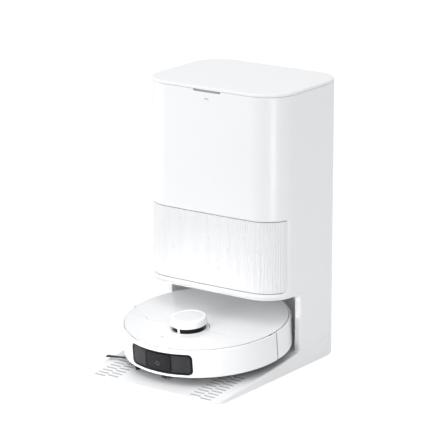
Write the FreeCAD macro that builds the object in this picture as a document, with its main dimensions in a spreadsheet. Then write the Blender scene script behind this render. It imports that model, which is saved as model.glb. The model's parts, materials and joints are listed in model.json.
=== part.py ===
"""Robot vacuum docked in its self-emptying, mop-washing base station.

Frame: origin at the centre of the footprint on the floor, +X to the right, +Y to the back, +Z up.
The robot's own sub-parts are drawn in the robot's frame (origin on the ramp under its centre,
nose towards -Y, robot's up along +Z) and carried to the dock by one common placement.
"""
import FreeCAD, Part
import math
import os
import re

import Sketcher

doc = FreeCAD.newDocument("RobotVacuum")
sheet = doc.addObject("Spreadsheet::Sheet", "Sizes")

SIZES = {
    # station, overall
    "station_width": 340.0,
    "station_height": 590.5,
    "base_depth": 457.0,
    "tower_depth": 258.0,
    "front_bow_radius": 5000.0,
    "front_corner": 66.0,
    "back_corner": 66.0,
    "skin": 3.0,
    "panel_gap": 0.6,
    "slide_gap": 0.5,
    # ramp
    "ramp_pitch": 5.85,
    "ramp_lip": 6.2,
    "ramp_corner": 28.0,
    "ramp_round": 4.0,
    "foot_stand": 1.0,
    "foot_radius": 7.0,
    "tread_inner": 88.0,
    "tread_width": 60.0,
    "tread_start": -222.0,
    "tread_margin": 1.5,
    "tread_split": 3.0,
    "tread_proud": 0.1,
    "wash_width": 276.0,
    "wash_depth": 142.0,
    "wash_y": 70.6,
    "tread_rows": 10.0,
    "tread_row_pitch": 13.0,
    "tread_bar": 4.6,
    "groove_depth": 1.2,
    # robot bay
    "bay_ceiling": 161.0,
    "bay_wall": 13.2,
    "bay_depth": 192.0,
    "bay_side_edge": 63.5,
    "liner_back": 4.0,
    "ir_width": 44.0,
    "ir_height": 16.0,
    "ir_z": 126.0,
    "contact_step": 14.0,
    "contact_width": 16.0,
    "contact_height": 18.0,
    "contact_front": 148.2,
    "contact_z": 78.0,
    "board_width": 150.0,
    "board_height": 60.0,
    "board_low": 84.0,
    "bay_top_round": 8.0,
    "bay_foot_round": 8.0,
    # dust drawer
    "lip_height": 13.5,
    "drawer_height": 153.0,
    "drawer_edge": 18.5,
    "drawer_top_round": 5.0,
    "drawer_foot_round": 15.0,
    "drawer_wall": 3.0,
    "drawer_depth": 159.5,
    "rib_pitch": 5.5,
    "rib_depth": 0.9,
    "cover_thick": 6.0,
    "drawer_gap": 0.9,
    "flute_turn": 69.0,
    "drawer_half": 130.0,
    "drawer_box_height": 118.0,
    "bag_width": 170.0,
    "bag_height": 104.0,
    "motor_x": 62.0,
    "motor_clear": 5.5,
    "motor_radius": 42.0,
    "motor_height": 96.0,
    "duct_radius": 17.0,
    "duct_low": 66.0,
    # lid and tanks
    "lid_thick": 6.0,
    "lid_rim": 8.0,
    "finger_width": 67.0,
    "finger_height": 4.4,
    "led_width": 10.0,
    "led_height": 1.8,
    "led_drop": 18.6,
    "inlet_x": 76.0,
    "inlet_z": 74.0,
    "inlet_width": 24.0,
    "inlet_height": 17.4,
    "inlet_depth": 20.0,
    "pin_step": 8.6,
    "hatch_width": 96.0,
    "hatch_margin": 16.0,
    "hinge_inset": 9.0,
    "hinge_drop": 3.0,
    "hinge_radius": 2.5,
    "hinge_x": 70.0,
    "hinge_width": 22.0,
    "hinge_notch": 276.0,
    "notch_drop": 13.5,
    "rim_stop": 70.0,
    "deck_thick": 5.5,
    "tank_wall": 2.5,
    "tank_gap": 6.0,
    "tank_headroom": 38.9,
    "tank_split": 2.0,
    "bow_width": 76.0,
    "bow_height": 24.0,
    "bow_set": 121.5,
    # robot, overall
    "robot_radius": 175.0,
    "robot_height": 103.8,
    "ring_height": 78.0,
    "robot_y": -22.9,
    "robot_lift": 0.4,
    "side_low": 18.0,
    "side_wall": 2.2,
    "bumper_travel": 2.5,
    "skirt_radius": 165.0,
    "skirt_wall": 3.0,
    "floor_low": 12.0,
    "floor_thick": 4.0,
    "top_cover": 3.5,
    "seam": 0.8,
    "seam_y": -51.0,
    "seam_step_out": 124.0,
    "seam_step_in": 100.0,
    "seam_dip": 13.0,
    # bumper window and camera
    "window_half": 75.5,
    "window_low": 23.0,
    "window_high": 68.0,
    "window_round": 7.0,
    "lens_z": 42.0,
    "lens_radius": 6.5,
    "bezel_half": 31.0,
    # lidar turret
    "lidar_y": -61.0,
    "lidar_radius": 37.5,
    "lidar_base_radius": 41.5,
    "lidar_slot": 9.5,
    "cap_round": 3.5,
    "post_turn": 20.0,
    "rotor_radius": 26.0,
    "rotor_low": 64.0,
    "rotor_height": 20.0,
    # icons and buttons
    "button_y": -126.0,
    "button_step": 21.6,
    "button_radius": 4.2,
    "button_press": 0.8,
    # running gear
    "wheel_x": 118.0,
    "wheel_radius": 33.0,
    "wheel_width": 20.0,
    "arm_pivot_y": -40.0,
    "arm_pivot_z": 38.0,
    "arm_thick": 3.5,
    "arm_gap": 1.2,
    "arm_boss": 5.5,
    "pivot_radius": 2.5,
    "bracket_thick": 4.5,
    "caster_y": -138.0,
    "caster_trail": 4.0,
    "caster_radius": 13.0,
    "caster_width": 14.0,
    "fork_radius": 17.5,
    "brush_y": -44.0,
    "brush_length": 160.0,
    "brush_radius": 19.0,
    "brush_height": 20.5,
    "side_brush_x": -112.0,
    "side_brush_y": -108.0,
    "side_brush_reach": 62.0,
    "side_brush_turn": 15.0,
    "mop_x": 63.5,
    "mop_y": 94.0,
    "mop_radius": 60.0,
    "mop_pad_low": 2.0,
    "mop_pad_thick": 6.0,
    "spindle": 4.0,
    "pin_fit": 0.06,
    "bin_width": 150.0,
    "bin_depth": 92.0,
    "bin_y": 16.0,
    "side_brush_low": 4.4,
    "caster_low": 2.0,
    "housing_top": 46.0,
    "fan_y": -6.0,
    "fan_radius": 20.0,
    "battery_width": 116.0,
    "battery_depth": 50.0,
    "battery_y": -148.0,
    "tray_depth": 5.0,
    "wash_rib": 1.6,
}

for row, (alias, number) in enumerate(SIZES.items(), start=1):
    cell = "B%d" % row
    sheet.set("A%d" % row, alias)
    sheet.set(cell, str(number))
    sheet.setAlias(cell, alias)
doc.recompute()

NODES = []
ALONG = {"X": FreeCAD.Rotation(0, 90, 0), "Y": FreeCAD.Rotation(0, 0, -90), "Z": FreeCAD.Rotation()}

# lengths that follow from the sizes above, written as formulas
FOLLOWS = {
    "drawer_low": "(bay_ceiling + lip_height)",
    "drawer_high": "(bay_ceiling + lip_height + drawer_height)",
    "drawer_reach": "(base_depth / 2 - tower_depth + drawer_depth)",
    "hatch_low": "(drawer_low + hatch_margin)",
    "hatch_height": "(drawer_height - 2 * hatch_margin)",
    "tank_height": "(station_height - lid_thick - panel_gap - tank_headroom"
                   " - deck_thick - 2 - drawer_high)",
    "led_z": "(station_height - lid_thick - panel_gap - led_drop)",
    "bow_y": "(base_depth / 2 - tower_depth + bow_set)",
    "motor_y": "(base_depth / 2 - skin - motor_radius - motor_clear)",
    "duct_y": "(base_depth / 2 + (bay_depth + liner_back - tower_depth) / 2)",
    "arm_inner": "(wheel_x - wheel_width / 2 - arm_thick - arm_gap)",
}
FRONT = "(-base_depth / 2)"
BACK = "(base_depth / 2)"
TOWER_FRONT = "(base_depth / 2 - tower_depth)"
HALF = "(station_width / 2)"
INNER = "(station_width / 2 - skin)"
BAY_BACK = "(base_depth / 2 - tower_depth + bay_depth)"
BODY_TOP = "(station_height - lid_thick - panel_gap)"
TANK_FLOOR = "(drawer_high + deck_thick + 2)"
HINGE_Y = "(base_depth / 2 - hinge_inset)"
HINGE_Z = "(station_height - lid_thick - hinge_drop)"
COVER_R = "(robot_radius - side_wall - bumper_travel - pin_fit * 8)"
FLOOR_TOP = "(floor_low + floor_thick)"
COVER_LOW = "(ring_height - top_cover)"


def size(alias):
    """Value of one sheet cell in millimetres (or degrees)."""
    return float(sheet.get(alias))


def expression(text):
    """Sheet expression for a formula written with bare aliases and the lengths that follow from them."""

    def spell(match):
        word = match.group()
        if word in FOLLOWS:
            return expression(FOLLOWS[word])
        return "Sizes." + word if word in SIZES else word

    return re.sub(r"[A-Za-z_]\w*", spell, str(text))


def number(text):
    """Present value of a formula written with bare aliases."""
    probe = sheet.evalExpression(expression(text))
    return float(getattr(probe, "Value", probe))


def bind(target, **properties):
    """Bind properties to sheet formulas; x, y and z stand for the position."""
    for name, text in properties.items():
        path = ".Placement.Base." + name if name in ("x", "y", "z") else name
        target.setExpression(path, expression(text))


class Piece:
    """One sub-part: a body with its own label and placement."""

    def __init__(self, label, robot=False):
        self.body = doc.addObject("PartDesign::Body", label)
        self.body.Label = label
        self.label = label
        self.count = 0
        NODES.append(self.body)
        if robot:
            dock(self.body)

    def name(self, kind):
        self.count += 1
        return "%s_%s%d" % (self.label, kind, self.count)

    def feature(self, kind, spin="Z", **formulas):
        """Primitive feature placed by its formulas."""
        made = self.body.newObject("PartDesign::" + kind, self.name(kind))
        made.Placement = FreeCAD.Placement(FreeCAD.Vector(), ALONG[spin])
        bind(made, **formulas)
        return made

    def box(self, x, y, z, dx, dy, dz, cut=False):
        """Box between low corner (x, y, z) and its far corner."""
        kind = "SubtractiveBox" if cut else "AdditiveBox"
        return self.feature(kind, x=x, y=y, z=z, Length=dx, Width=dy, Height=dz)

    def rod(self, x, y, z, radius, length, spin="Z", cut=False):
        """Cylinder that starts at (x, y, z) and runs along the given axis."""
        kind = "SubtractiveCylinder" if cut else "AdditiveCylinder"
        return self.feature(kind, spin, x=x, y=y, z=z, Radius=radius, Height=length)

    def sketch(self, plane, offset="0"):
        """Empty sketch on one of the body's own origin planes, moved along its normal."""
        made = self.body.newObject("Sketcher::SketchObject", self.name("sketch"))
        support = [f for f in self.body.Origin.OriginFeatures if f.Role == plane + "_Plane"][0]
        made.AttachmentSupport = [(support, "")]
        made.MapMode = "FlatFace"
        made.setExpression("AttachmentOffset.Base.z", expression(offset))
        return made

    def pad(self, sketch, length, midplane=False):
        made = self.body.newObject("PartDesign::Pad", self.name("pad"))
        made.Profile = sketch
        made.SideType = "Symmetric" if midplane else "One side"
        bind(made, Length=length)
        return made

    def pocket(self, sketch, length, midplane=False, reverse=False):
        made = self.body.newObject("PartDesign::Pocket", self.name("pocket"))
        made.Profile = sketch
        made.SideType = "Symmetric" if midplane else "One side"
        made.Reversed = reverse
        bind(made, Length=length)
        return made

    def soften(self, kind, radius, picks):
        """Fillet or chamfer the edges that picks() accepts."""
        doc.recompute()
        base = self.body.Tip
        edges = ["Edge%d" % i for i, e in enumerate(base.Shape.Edges, start=1) if picks(e)]
        if not edges:
            raise RuntimeError(self.label + ": no edge to soften")
        made = self.body.newObject("PartDesign::" + kind, self.name(kind.lower()))
        made.Base = (base, edges)
        bind(made, **{"Radius" if kind == "Fillet" else "Size": radius})
        return made

    def axis(self, role):
        return [f for f in self.body.Origin.OriginFeatures if f.Role == role + "_Axis"][0]

    def repeat(self, feature, axis, length, times):
        """Linear pattern of a feature along one of the body's origin axes."""
        made = self.body.newObject("PartDesign::LinearPattern", self.name("pattern"))
        made.Originals = [feature]
        made.Direction = (self.axis(axis), [""])
        made.Mode = "Extent"
        bind(made, Length=length, Occurrences=times)
        self.body.Tip = made
        return made

    def swing(self, feature, x, y, angle, times, reverse=False):
        """Polar pattern of a feature about an upright line through (x, y)."""
        centre = self.sketch("XY")
        bind_offset(centre, x, y)
        made = self.body.newObject("PartDesign::PolarPattern", self.name("pattern"))
        made.Originals = [feature]
        made.Axis = (centre, ["N_Axis"])
        made.Reversed = reverse
        bind(made, Angle=angle, Occurrences=times)
        self.body.Tip = made
        return made

    def trim(self, sketch, reach="station_height * 2"):
        """Remove everything the sketch covers, far to both sides of its plane."""
        return self.pocket(sketch, reach, midplane=True)


def dock(target):
    """Carry a robot sub-part to where the robot stands on the ramp."""
    target.Placement = FreeCAD.Placement(FreeCAD.Vector(), FreeCAD.Rotation(FreeCAD.Vector(1, 0, 0), 5))
    bind(target, x="0", y="robot_y")
    bind(target, z="ramp_lip + tan(ramp_pitch * 1deg) * (robot_y + base_depth / 2) + robot_lift")
    target.setExpression(".Placement.Rotation.Angle", expression("ramp_pitch * 1deg"))


def bind_offset(sketch, x, y):
    """Move an attached sketch within its plane."""
    sketch.setExpression("AttachmentOffset.Base.x", expression(x))
    sketch.setExpression("AttachmentOffset.Base.y", expression(y))


def fix(sketch, geometry, point, x, y):
    """Tie one point of a sketch to formulas for its two coordinates."""
    for kind, text in (("DistanceX", x), ("DistanceY", y)):
        index = sketch.addConstraint(Sketcher.Constraint(kind, -1, 1, geometry, point, number(text)))
        sketch.setExpression("Constraints[%d]" % index, expression(text))


def radius(sketch, geometry, text):
    index = sketch.addConstraint(Sketcher.Constraint("Radius", geometry, number(text)))
    sketch.setExpression("Constraints[%d]" % index, expression(text))


def polygon(sketch, corners):
    """Closed polygon whose corners are pairs of formulas."""
    points = [FreeCAD.Vector(number(x), number(y), 0) for x, y in corners]
    first = sketch.GeometryCount
    for i, point in enumerate(points):
        sketch.addGeometry(Part.LineSegment(point, points[(i + 1) % len(points)]), False)
    for i, (x, y) in enumerate(corners):
        follower = first + (i + 1) % len(points)
        sketch.addConstraint(Sketcher.Constraint("Coincident", first + i, 2, follower, 1))
        fix(sketch, first + i, 1, x, y)
    return sketch


def everything(sketch):
    """Square far larger than the object, so that a second outline in the sketch becomes a hole."""
    near, far = "(-station_height * 2)", "(station_height * 2)"
    return polygon(sketch, ((near, near), (far, near), (far, far), (near, far)))


def circle(sketch, x, y, r):
    """Full circle with centre and radius given by formulas."""
    centre = FreeCAD.Vector(number(x), number(y), 0)
    index = sketch.addGeometry(Part.Circle(centre, FreeCAD.Vector(0, 0, 1), number(r)), False)
    fix(sketch, index, 3, x, y)
    radius(sketch, index, r)
    return sketch


def rounded(sketch, x0, x1, y0, y1, radii):
    """Rectangle with its own radius at the low-left, low-right, high-right and high-left corner."""
    a, b, c, d = number(x0), number(x1), number(y0), number(y1)
    r = [number(text) for text in radii]
    corners = (
        (a + r[0], c + r[0], 180),
        (b - r[1], c + r[1], 270),
        (b - r[2], d - r[2], 0),
        (a + r[3], d - r[3], 90),
    )
    first = sketch.GeometryCount
    for (cx, cy, turn), rad in zip(corners, r):
        full = Part.Circle(FreeCAD.Vector(cx, cy, 0), FreeCAD.Vector(0, 0, 1), rad)
        start = math.radians(turn)
        sketch.addGeometry(Part.ArcOfCircle(full, start, start + math.pi / 2), False)
    for i in range(4):
        here = sketch.Geometry[first + i].EndPoint
        there = sketch.Geometry[first + (i + 1) % 4].StartPoint
        line = sketch.addGeometry(Part.LineSegment(here, there), False)
        sketch.addConstraint(Sketcher.Constraint("Tangent", first + i, 2, line, 1))
        sketch.addConstraint(Sketcher.Constraint("Tangent", line, 2, first + (i + 1) % 4, 1))
        radius(sketch, first + i, radii[i])
    sides = (("DistanceY", y0), ("DistanceX", x1), ("DistanceY", y1), ("DistanceX", x0))
    for i, (direction, value) in enumerate(sides, start=4):
        flat = "Horizontal" if direction == "DistanceY" else "Vertical"
        sketch.addConstraint(Sketcher.Constraint(flat, first + i))
        index = sketch.addConstraint(Sketcher.Constraint(direction, -1, 1, first + i, 1, number(value)))
        sketch.setExpression("Constraints[%d]" % index, expression(value))
    return sketch


def plan_arcs(inset):
    """Corner-arc centres and radii of the tower's plan, drawn inset from the outside."""
    shrink = number(inset)
    wide = size("station_width") / 2 - shrink
    front = number(TOWER_FRONT) + shrink
    back = number(BACK) - shrink
    bow = size("front_bow_radius") - shrink
    near = max(size("front_corner") - shrink, 1.0)
    far = max(size("back_corner") - shrink, 1.0)
    bow_y = front + bow
    corner_x = wide - near
    corner_y = bow_y - math.sqrt((bow - near) ** 2 - corner_x ** 2)
    return wide, back, bow, near, far, bow_y, corner_x, corner_y


def plan_edges(inset):
    """Tower plan as arcs and lines, counter-clockwise from the left front corner."""
    wide, back, bow, near, far, bow_y, corner_x, corner_y = plan_arcs(inset)
    up = FreeCAD.Vector(0, 0, 1)
    tilt = math.atan2(corner_x, bow_y - corner_y)
    down = -math.pi / 2

    def arc(x, y, r, a, b):
        return Part.ArcOfCircle(Part.Circle(FreeCAD.Vector(x, y, 0), up, r), a, b)

    def line(x0, y0, x1, y1):
        return Part.LineSegment(FreeCAD.Vector(x0, y0, 0), FreeCAD.Vector(x1, y1, 0))

    return [
        arc(-corner_x, corner_y, near, -math.pi, down - tilt),
        arc(0, bow_y, bow, down - tilt, down + tilt),
        arc(corner_x, corner_y, near, down + tilt, 0),
        line(wide, corner_y, wide, back - far),
        arc(wide - far, back - far, far, 0, math.pi / 2),
        line(wide - far, back, far - wide, back),
        arc(far - wide, back - far, far, math.pi / 2, math.pi),
        line(-wide, back - far, -wide, corner_y),
    ]


def plan(sketch, inset="0"):
    """Tower plan in a sketch, inset by a formula, tied to the driving sizes."""
    edges = plan_edges(inset)
    for edge in edges:
        sketch.addGeometry(edge, False)
    for i in range(len(edges)):
        sketch.addConstraint(Sketcher.Constraint("Tangent", i, 2, (i + 1) % len(edges), 1))
    for i in (3, 7):
        sketch.addConstraint(Sketcher.Constraint("Vertical", i))
    sketch.addConstraint(Sketcher.Constraint("Horizontal", 5))
    sketch.addConstraint(Sketcher.Constraint("PointOnObject", 1, 3, -2))
    radius(sketch, 0, "front_corner - (%s)" % inset)
    radius(sketch, 2, "front_corner - (%s)" % inset)
    radius(sketch, 1, "front_bow_radius - (%s)" % inset)
    radius(sketch, 4, "back_corner - (%s)" % inset)
    radius(sketch, 6, "back_corner - (%s)" % inset)
    ties = (
        ("DistanceX", 3, 1, "station_width / 2 - (%s)" % inset),
        ("DistanceX", 7, 1, "(%s) - station_width / 2" % inset),
        ("DistanceY", 5, 1, "base_depth / 2 - (%s)" % inset),
        ("DistanceY", 1, 3, "base_depth / 2 - tower_depth + front_bow_radius"),
    )
    for kind, geometry, point, text in ties:
        index = sketch.addConstraint(Sketcher.Constraint(kind, -1, 1, geometry, point, number(text)))
        sketch.setExpression("Constraints[%d]" % index, expression(text))
    return sketch


def ramp_z(y):
    """Height of the ramp's top plane at depth y, as a formula."""
    return "(ramp_lip + tan(ramp_pitch * 1deg) * ((%s) + base_depth / 2))" % y


def over_ramp(sketch, low, high, lift="0", above=True):
    """Region above (or below) the ramp plane between two depths."""
    far = "station_height" if above else "(-station_height)"
    slope = [(y, ramp_z(y) + " + " + lift) for y in (low, high)]
    return polygon(sketch, slope + [(high, far), (low, far)])


def on_ramp(target, lift="0"):
    """Lay a sub-part drawn flat on the ramp's sloping top plane."""
    target.Placement = FreeCAD.Placement(FreeCAD.Vector(), FreeCAD.Rotation(FreeCAD.Vector(1, 0, 0), 5))
    bind(target, x="0", y="0", z=ramp_z("0") + " + " + lift)
    target.setExpression(".Placement.Rotation.Angle", expression("ramp_pitch * 1deg"))


def several(label, parts, robot=False):
    """Identical loose solids kept as one node."""
    node = doc.addObject("Part::Compound", label)
    node.Label = label
    node.Links = parts
    NODES.append(node)
    if robot:
        dock(node)
    return node


def peg(name, spin="Z", **formulas):
    """Plain cylinder for a group of identical parts."""
    made = doc.addObject("Part::Cylinder", name)
    made.Placement = FreeCAD.Placement(FreeCAD.Vector(), ALONG[spin])
    bind(made, **formulas)
    return made


def block(name, **formulas):
    """Plain box for a group of identical parts."""
    made = doc.addObject("Part::Box", name)
    bind(made, **formulas)
    return made


# ---------------------------------------------------------------- base station

FOOT_SPOTS = (
    ("(station_width / 2 - 26)", "(26 - base_depth / 2)"),
    ("(26 - station_width / 2)", "(26 - base_depth / 2)"),
    ("(station_width / 2 - 50)", "(base_depth / 2 - 50)"),
    ("(50 - station_width / 2)", "(base_depth / 2 - 50)"),
)
TREAD_SPAN = "(tread_row_pitch * (tread_rows - 1))"
TREAD_DEPTH = "(tread_row_pitch * (tread_rows - 0.5) + tread_bar + 2 * tread_margin)"


def base_ramp():
    """Wedge the robot drives up, rounded along its open edges, hollow underneath."""
    piece = Piece("base_ramp")
    corners = ("ramp_corner", "ramp_corner", "1", "1")
    front = rounded(piece.sketch("XY", "foot_stand"), "-" + HALF, HALF, FRONT, "bay_side_edge", corners)
    piece.pad(front, "ramp_lip * 12")
    piece.trim(over_ramp(piece.sketch("YZ"), FRONT + " * 2", "bay_side_edge * 2"))
    slope = math.radians(size("ramp_pitch"))

    def open_edge(edge):
        middle = edge.CenterOfMass
        rise = size("ramp_lip") + math.tan(slope) * (middle.y + size("base_depth") / 2)
        outside = abs(middle.x) > size("station_width") / 2 - size("ramp_corner")
        outside = outside or middle.y < -size("base_depth") / 2 + 1
        return outside and abs(middle.z - rise) < 0.6 and middle.y < size("bay_side_edge") - 1.5

    piece.soften("Fillet", "ramp_round", open_edge)
    piece.pad(plan(piece.sketch("XY", "foot_stand")), "ramp_lip * 14")
    piece.trim(over_ramp(piece.sketch("YZ"), FRONT + " * 2", BACK + " * 2"))
    hollow = over_ramp(piece.sketch("YZ"), FRONT + " + 34", BACK + " - back_corner", "(-skin)", above=False)
    piece.pocket(hollow, "station_width - 24", midplane=True)
    piece.box("-6", FRONT + " + 20", "foot_stand", "12", "base_depth - 40", "ramp_lip - 2")
    for x, y in FOOT_SPOTS:
        piece.rod(x, y, "foot_stand", "foot_radius + 4", ramp_z(y) + " - foot_stand - 2.4")
        piece.rod(x, y, "0", "foot_radius", "foot_stand + 1", cut=True)
    for side in ("-1", "1"):
        cut = piece.box("0", "0", "0", "tread_width", TREAD_DEPTH, "skin", cut=True)
        left = "(%s) * (tread_inner + tread_width / 2) - tread_width / 2" % side
        tilt(cut, left, "tread_start - tread_margin", "(-groove_depth)")
    tray = piece.box("0", "0", "0", "wash_width", "wash_depth", "skin * 20", cut=True)
    tilt(tray, "-wash_width / 2", "wash_y - wash_depth / 2", "-tray_depth")


def tilt(feature, x, y, z):
    """Place a feature by its position along the ramp's sloping plane."""
    feature.Placement = FreeCAD.Placement(FreeCAD.Vector(), FreeCAD.Rotation(FreeCAD.Vector(1, 0, 0), 5))
    slope = "ramp_pitch * 1deg"
    bind(feature, x=x, y="(%s) * cos(%s) - (%s) * sin(%s)" % (y, slope, z, slope))
    bind(feature, z="%s + (%s) * sin(%s) + (%s) * cos(%s)" % (ramp_z("0"), y, slope, z, slope))
    feature.setExpression(".Placement.Rotation.Angle", expression(slope))


def ramp_tread(label, side):
    """Grip mat let into the ramp: thin plate with two columns of raised bars, half a pitch apart."""
    piece = Piece(label)
    on_ramp(piece.body)
    left = "(%s) * (tread_inner + tread_width / 2) - tread_width / 2" % side
    inset = "0.05"
    piece.box(
        left + " + " + inset, "tread_start - tread_margin + " + inset, "-groove_depth",
        "tread_width - 2 * " + inset, TREAD_DEPTH + " - 2 * " + inset, "groove_depth",
    )
    length = "(tread_width - 3 * tread_split) / 2"
    outer = "(tread_width - tread_split) / 2"
    for column in range(2):
        x = left + " + tread_split + %d * " % column + outer
        ahead = column if side == "-1" else 1 - column
        y = "tread_start + %d * tread_row_pitch / 2" % ahead
        bar = piece.box(x, y, "-groove_depth / 2", length, "tread_bar", "groove_depth / 2 + tread_proud")
        doc.recompute()
        piece.repeat(bar, "Y", TREAD_SPAN, "tread_rows")


def rubber_feet():
    parts = []
    for i, (x, y) in enumerate(FOOT_SPOTS):
        parts.append(peg("foot_%d" % i, x=x, y=y, z="0", Radius="foot_radius", Height="foot_stand + 1"))
    several("rubber_feet", parts)


def wash_tray():
    """Washing tray under the mops: two round wells crossed by scrubbing ribs."""
    piece = Piece("wash_tray")
    on_ramp(piece.body)
    gap = "panel_gap / 2"
    outline = ("-wash_width / 2 + " + gap, "wash_width / 2 - " + gap,
               "wash_y - wash_depth / 2 + " + gap, "wash_y + wash_depth / 2 - " + gap)
    plate = rounded(piece.sketch("XY", "-tray_depth"), *outline, ("6", "6", "6", "6"))
    piece.pad(plate, "tray_depth")
    for side in ("-1", "1"):
        well = "(%s) * mop_x" % side
        piece.rod(well, "wash_y", "2 - tray_depth", "mop_radius + 2", "tray_depth", cut=True)
    for side in ("-1", "1"):
        first = "(%s) * mop_x - mop_radius * 0.6 - 2" % side
        rib = piece.box(first, "wash_y - mop_radius * 0.6", "1 - tray_depth", "4", "mop_radius * 1.2",
                        "tray_depth - 1 + wash_rib")
        doc.recompute()
        piece.repeat(rib, "X", "mop_radius * 1.2", "4")


def open_bay(piece):
    """Side opening the robot drives into: rounded head and foot, its floor the ramp's own slope."""
    turn = "(bay_side_edge - bay_foot_round)"
    floor = ramp_z(turn)
    radii = ("1", "bay_foot_round", "bay_top_round", "1")
    piece.trim(rounded(piece.sketch("YZ"), FRONT + " * 2", "bay_side_edge", floor, "bay_ceiling", radii))
    ahead = FRONT + " * 2"
    piece.trim(polygon(piece.sketch("YZ"), ((ahead, ramp_z(ahead)), (turn, floor), (ahead, floor))))


def tower_shell():
    """Outer skin of the tower with the bay mouth, drawer window and back openings."""
    piece = Piece("tower_shell")
    piece.pad(plan(piece.sketch("XY")), BODY_TOP)
    piece.trim(plan(piece.sketch("XY"), "skin"))
    piece.trim(over_ramp(piece.sketch("YZ"), FRONT + " * 2", BACK + " * 2", above=False))
    open_bay(piece)
    radii = ("1", "drawer_foot_round", "drawer_top_round", "1")
    window = rounded(piece.sketch("YZ"), FRONT + " * 2", "drawer_edge", "drawer_low", "drawer_high", radii)
    piece.trim(window)
    piece.box("-finger_width / 2", FRONT, BODY_TOP + " - finger_height", "finger_width", "base_depth / 2",
              "finger_height * 2", cut=True)
    piece.box("-led_width / 2", FRONT, "led_z", "led_width", "base_depth / 2", "led_height", cut=True)
    piece.box("-hinge_notch / 2", BACK + " - back_corner / 2", HINGE_Z + " - notch_drop", "hinge_notch",
              "back_corner", "station_height", cut=True)
    piece.box("inlet_x - inlet_width / 2", BACK + " - skin * 2", "inlet_z", "inlet_width", "skin * 4",
              "inlet_height", cut=True)
    hatch = rounded(piece.sketch("XZ", "-" + BACK), "-hatch_width / 2", "hatch_width / 2", "hatch_low",
                    "hatch_low + hatch_height", ("6", "6", "6", "6"))
    piece.pocket(hatch, "skin * 4", midplane=True)


def bay_liner():
    """Inner walls of the robot bay, curved round the robot's back."""
    piece = Piece("bay_liner")
    outer = ("-" + INNER, INNER, "bay_side_edge - bay_top_round", BAY_BACK + " + liner_back")
    piece.pad(rounded(piece.sketch("XY"), *outer, ("1", "1", "30", "30")), "bay_ceiling")
    inner = ("bay_wall - " + HALF, HALF + " - bay_wall", FRONT, BAY_BACK)
    piece.trim(rounded(piece.sketch("XY"), *inner, ("1", "1", "70", "70")))
    open_bay(piece)
    piece.trim(over_ramp(piece.sketch("YZ"), FRONT + " * 2", BACK + " * 2", above=False))
    piece.box(
        "-ir_width / 2 - 0.1", BAY_BACK + " - 1", "ir_z - 0.1",
        "ir_width + 0.2", "2.5", "ir_height + 0.2", cut=True,
    )


def mid_deck():
    """Floor of the dust drawer and ceiling of the bay."""
    piece = Piece("mid_deck")
    piece.pad(plan(piece.sketch("XY", "bay_ceiling"), "skin"), "drawer_low - bay_ceiling - 1")
    sides = ("skin * 6 - " + HALF, HALF + " - skin * 6")
    ends = (TOWER_FRONT + " + front_corner", BACK + " - back_corner")
    relief = rounded(piece.sketch("XY", "bay_ceiling + skin"), *sides, *ends, ("8", "8", "8", "8"))
    piece.pocket(relief, "drawer_low", reverse=True)


def tank_deck():
    """Shelf under the water tanks, with a shallow wall round it."""
    piece = Piece("tank_deck")
    piece.pad(plan(piece.sketch("XY", "drawer_high + 1"), "skin"), "deck_thick - 1")
    rim = plan(piece.sketch("XY", "drawer_high + deck_thick"), "skin")
    piece.pad(rim, "deck_thick * 2")
    tray = plan(piece.sketch("XY", "drawer_high + deck_thick"), "skin * 1.8")
    piece.pocket(tray, "deck_thick * 3", reverse=True)


def status_led():
    piece = Piece("status_led")
    face = TOWER_FRONT + " + 0.2"
    piece.box("-led_width / 2 + 0.1", face, "led_z + 0.1", "led_width - 0.2", "skin + 2",
              "led_height - 0.2")
    behind = TOWER_FRONT + " + skin + 0.1"
    piece.box("-led_width / 2 - 3", behind, "led_z - 3", "led_width + 6", "3", "led_height + 6")


def power_inlet():
    """Two-pin mains inlet seated in the back wall; the cord is not part of this object."""
    piece = Piece("power_inlet")
    wide = "inlet_width - 0.2"
    tall = "inlet_height - 0.2"
    left = "inlet_x - inlet_width / 2 + 0.1"
    piece.box(left, BACK + " - inlet_depth", "inlet_z + 0.1", wide, "inlet_depth", tall)
    deep = "inlet_depth - skin - 0.1"
    piece.box(left + " - 2", BACK + " - inlet_depth", "inlet_z - 2", "inlet_width + 4", deep,
              "inlet_height + 4")
    mouth = ("inlet_x - inlet_width / 2 + 2.5", "inlet_x + inlet_width / 2 - 2.5", "inlet_z + 2.5",
             "inlet_z + inlet_height - 2.5")
    opening = rounded(piece.sketch("XZ", "-" + BACK), *mouth, ("3", "3", "3", "3"))
    piece.pocket(opening, "(inlet_depth - 3) * 2", midplane=True)
    for side in ("-1", "1"):
        x = "inlet_x + (%s) * pin_step / 2" % side
        middle = "inlet_z + inlet_height / 2"
        piece.rod(x, BACK + " - inlet_depth + 2", middle, "1.2", "inlet_depth - 4", "Y")


def rear_hatch():
    """Cable-store hatch in the back wall."""
    piece = Piece("rear_hatch")
    gap = "panel_gap / 2"
    outline = ("-hatch_width / 2 + " + gap, "hatch_width / 2 - " + gap, "hatch_low + " + gap,
               "hatch_low + hatch_height - " + gap)
    plate = rounded(piece.sketch("XZ", "-" + BACK), *outline, ("5.7", "5.7", "5.7", "5.7"))
    piece.pad(plate, "skin")
    piece.box("-hatch_width / 2 - 4", BACK + " - skin - 2", "hatch_low - 4", "hatch_width + 8", "2",
              "hatch_height + 8")
    piece.box("-12", BACK + " - 1.5", "hatch_low + hatch_height - 14", "24", "3", "8", cut=True)


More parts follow.
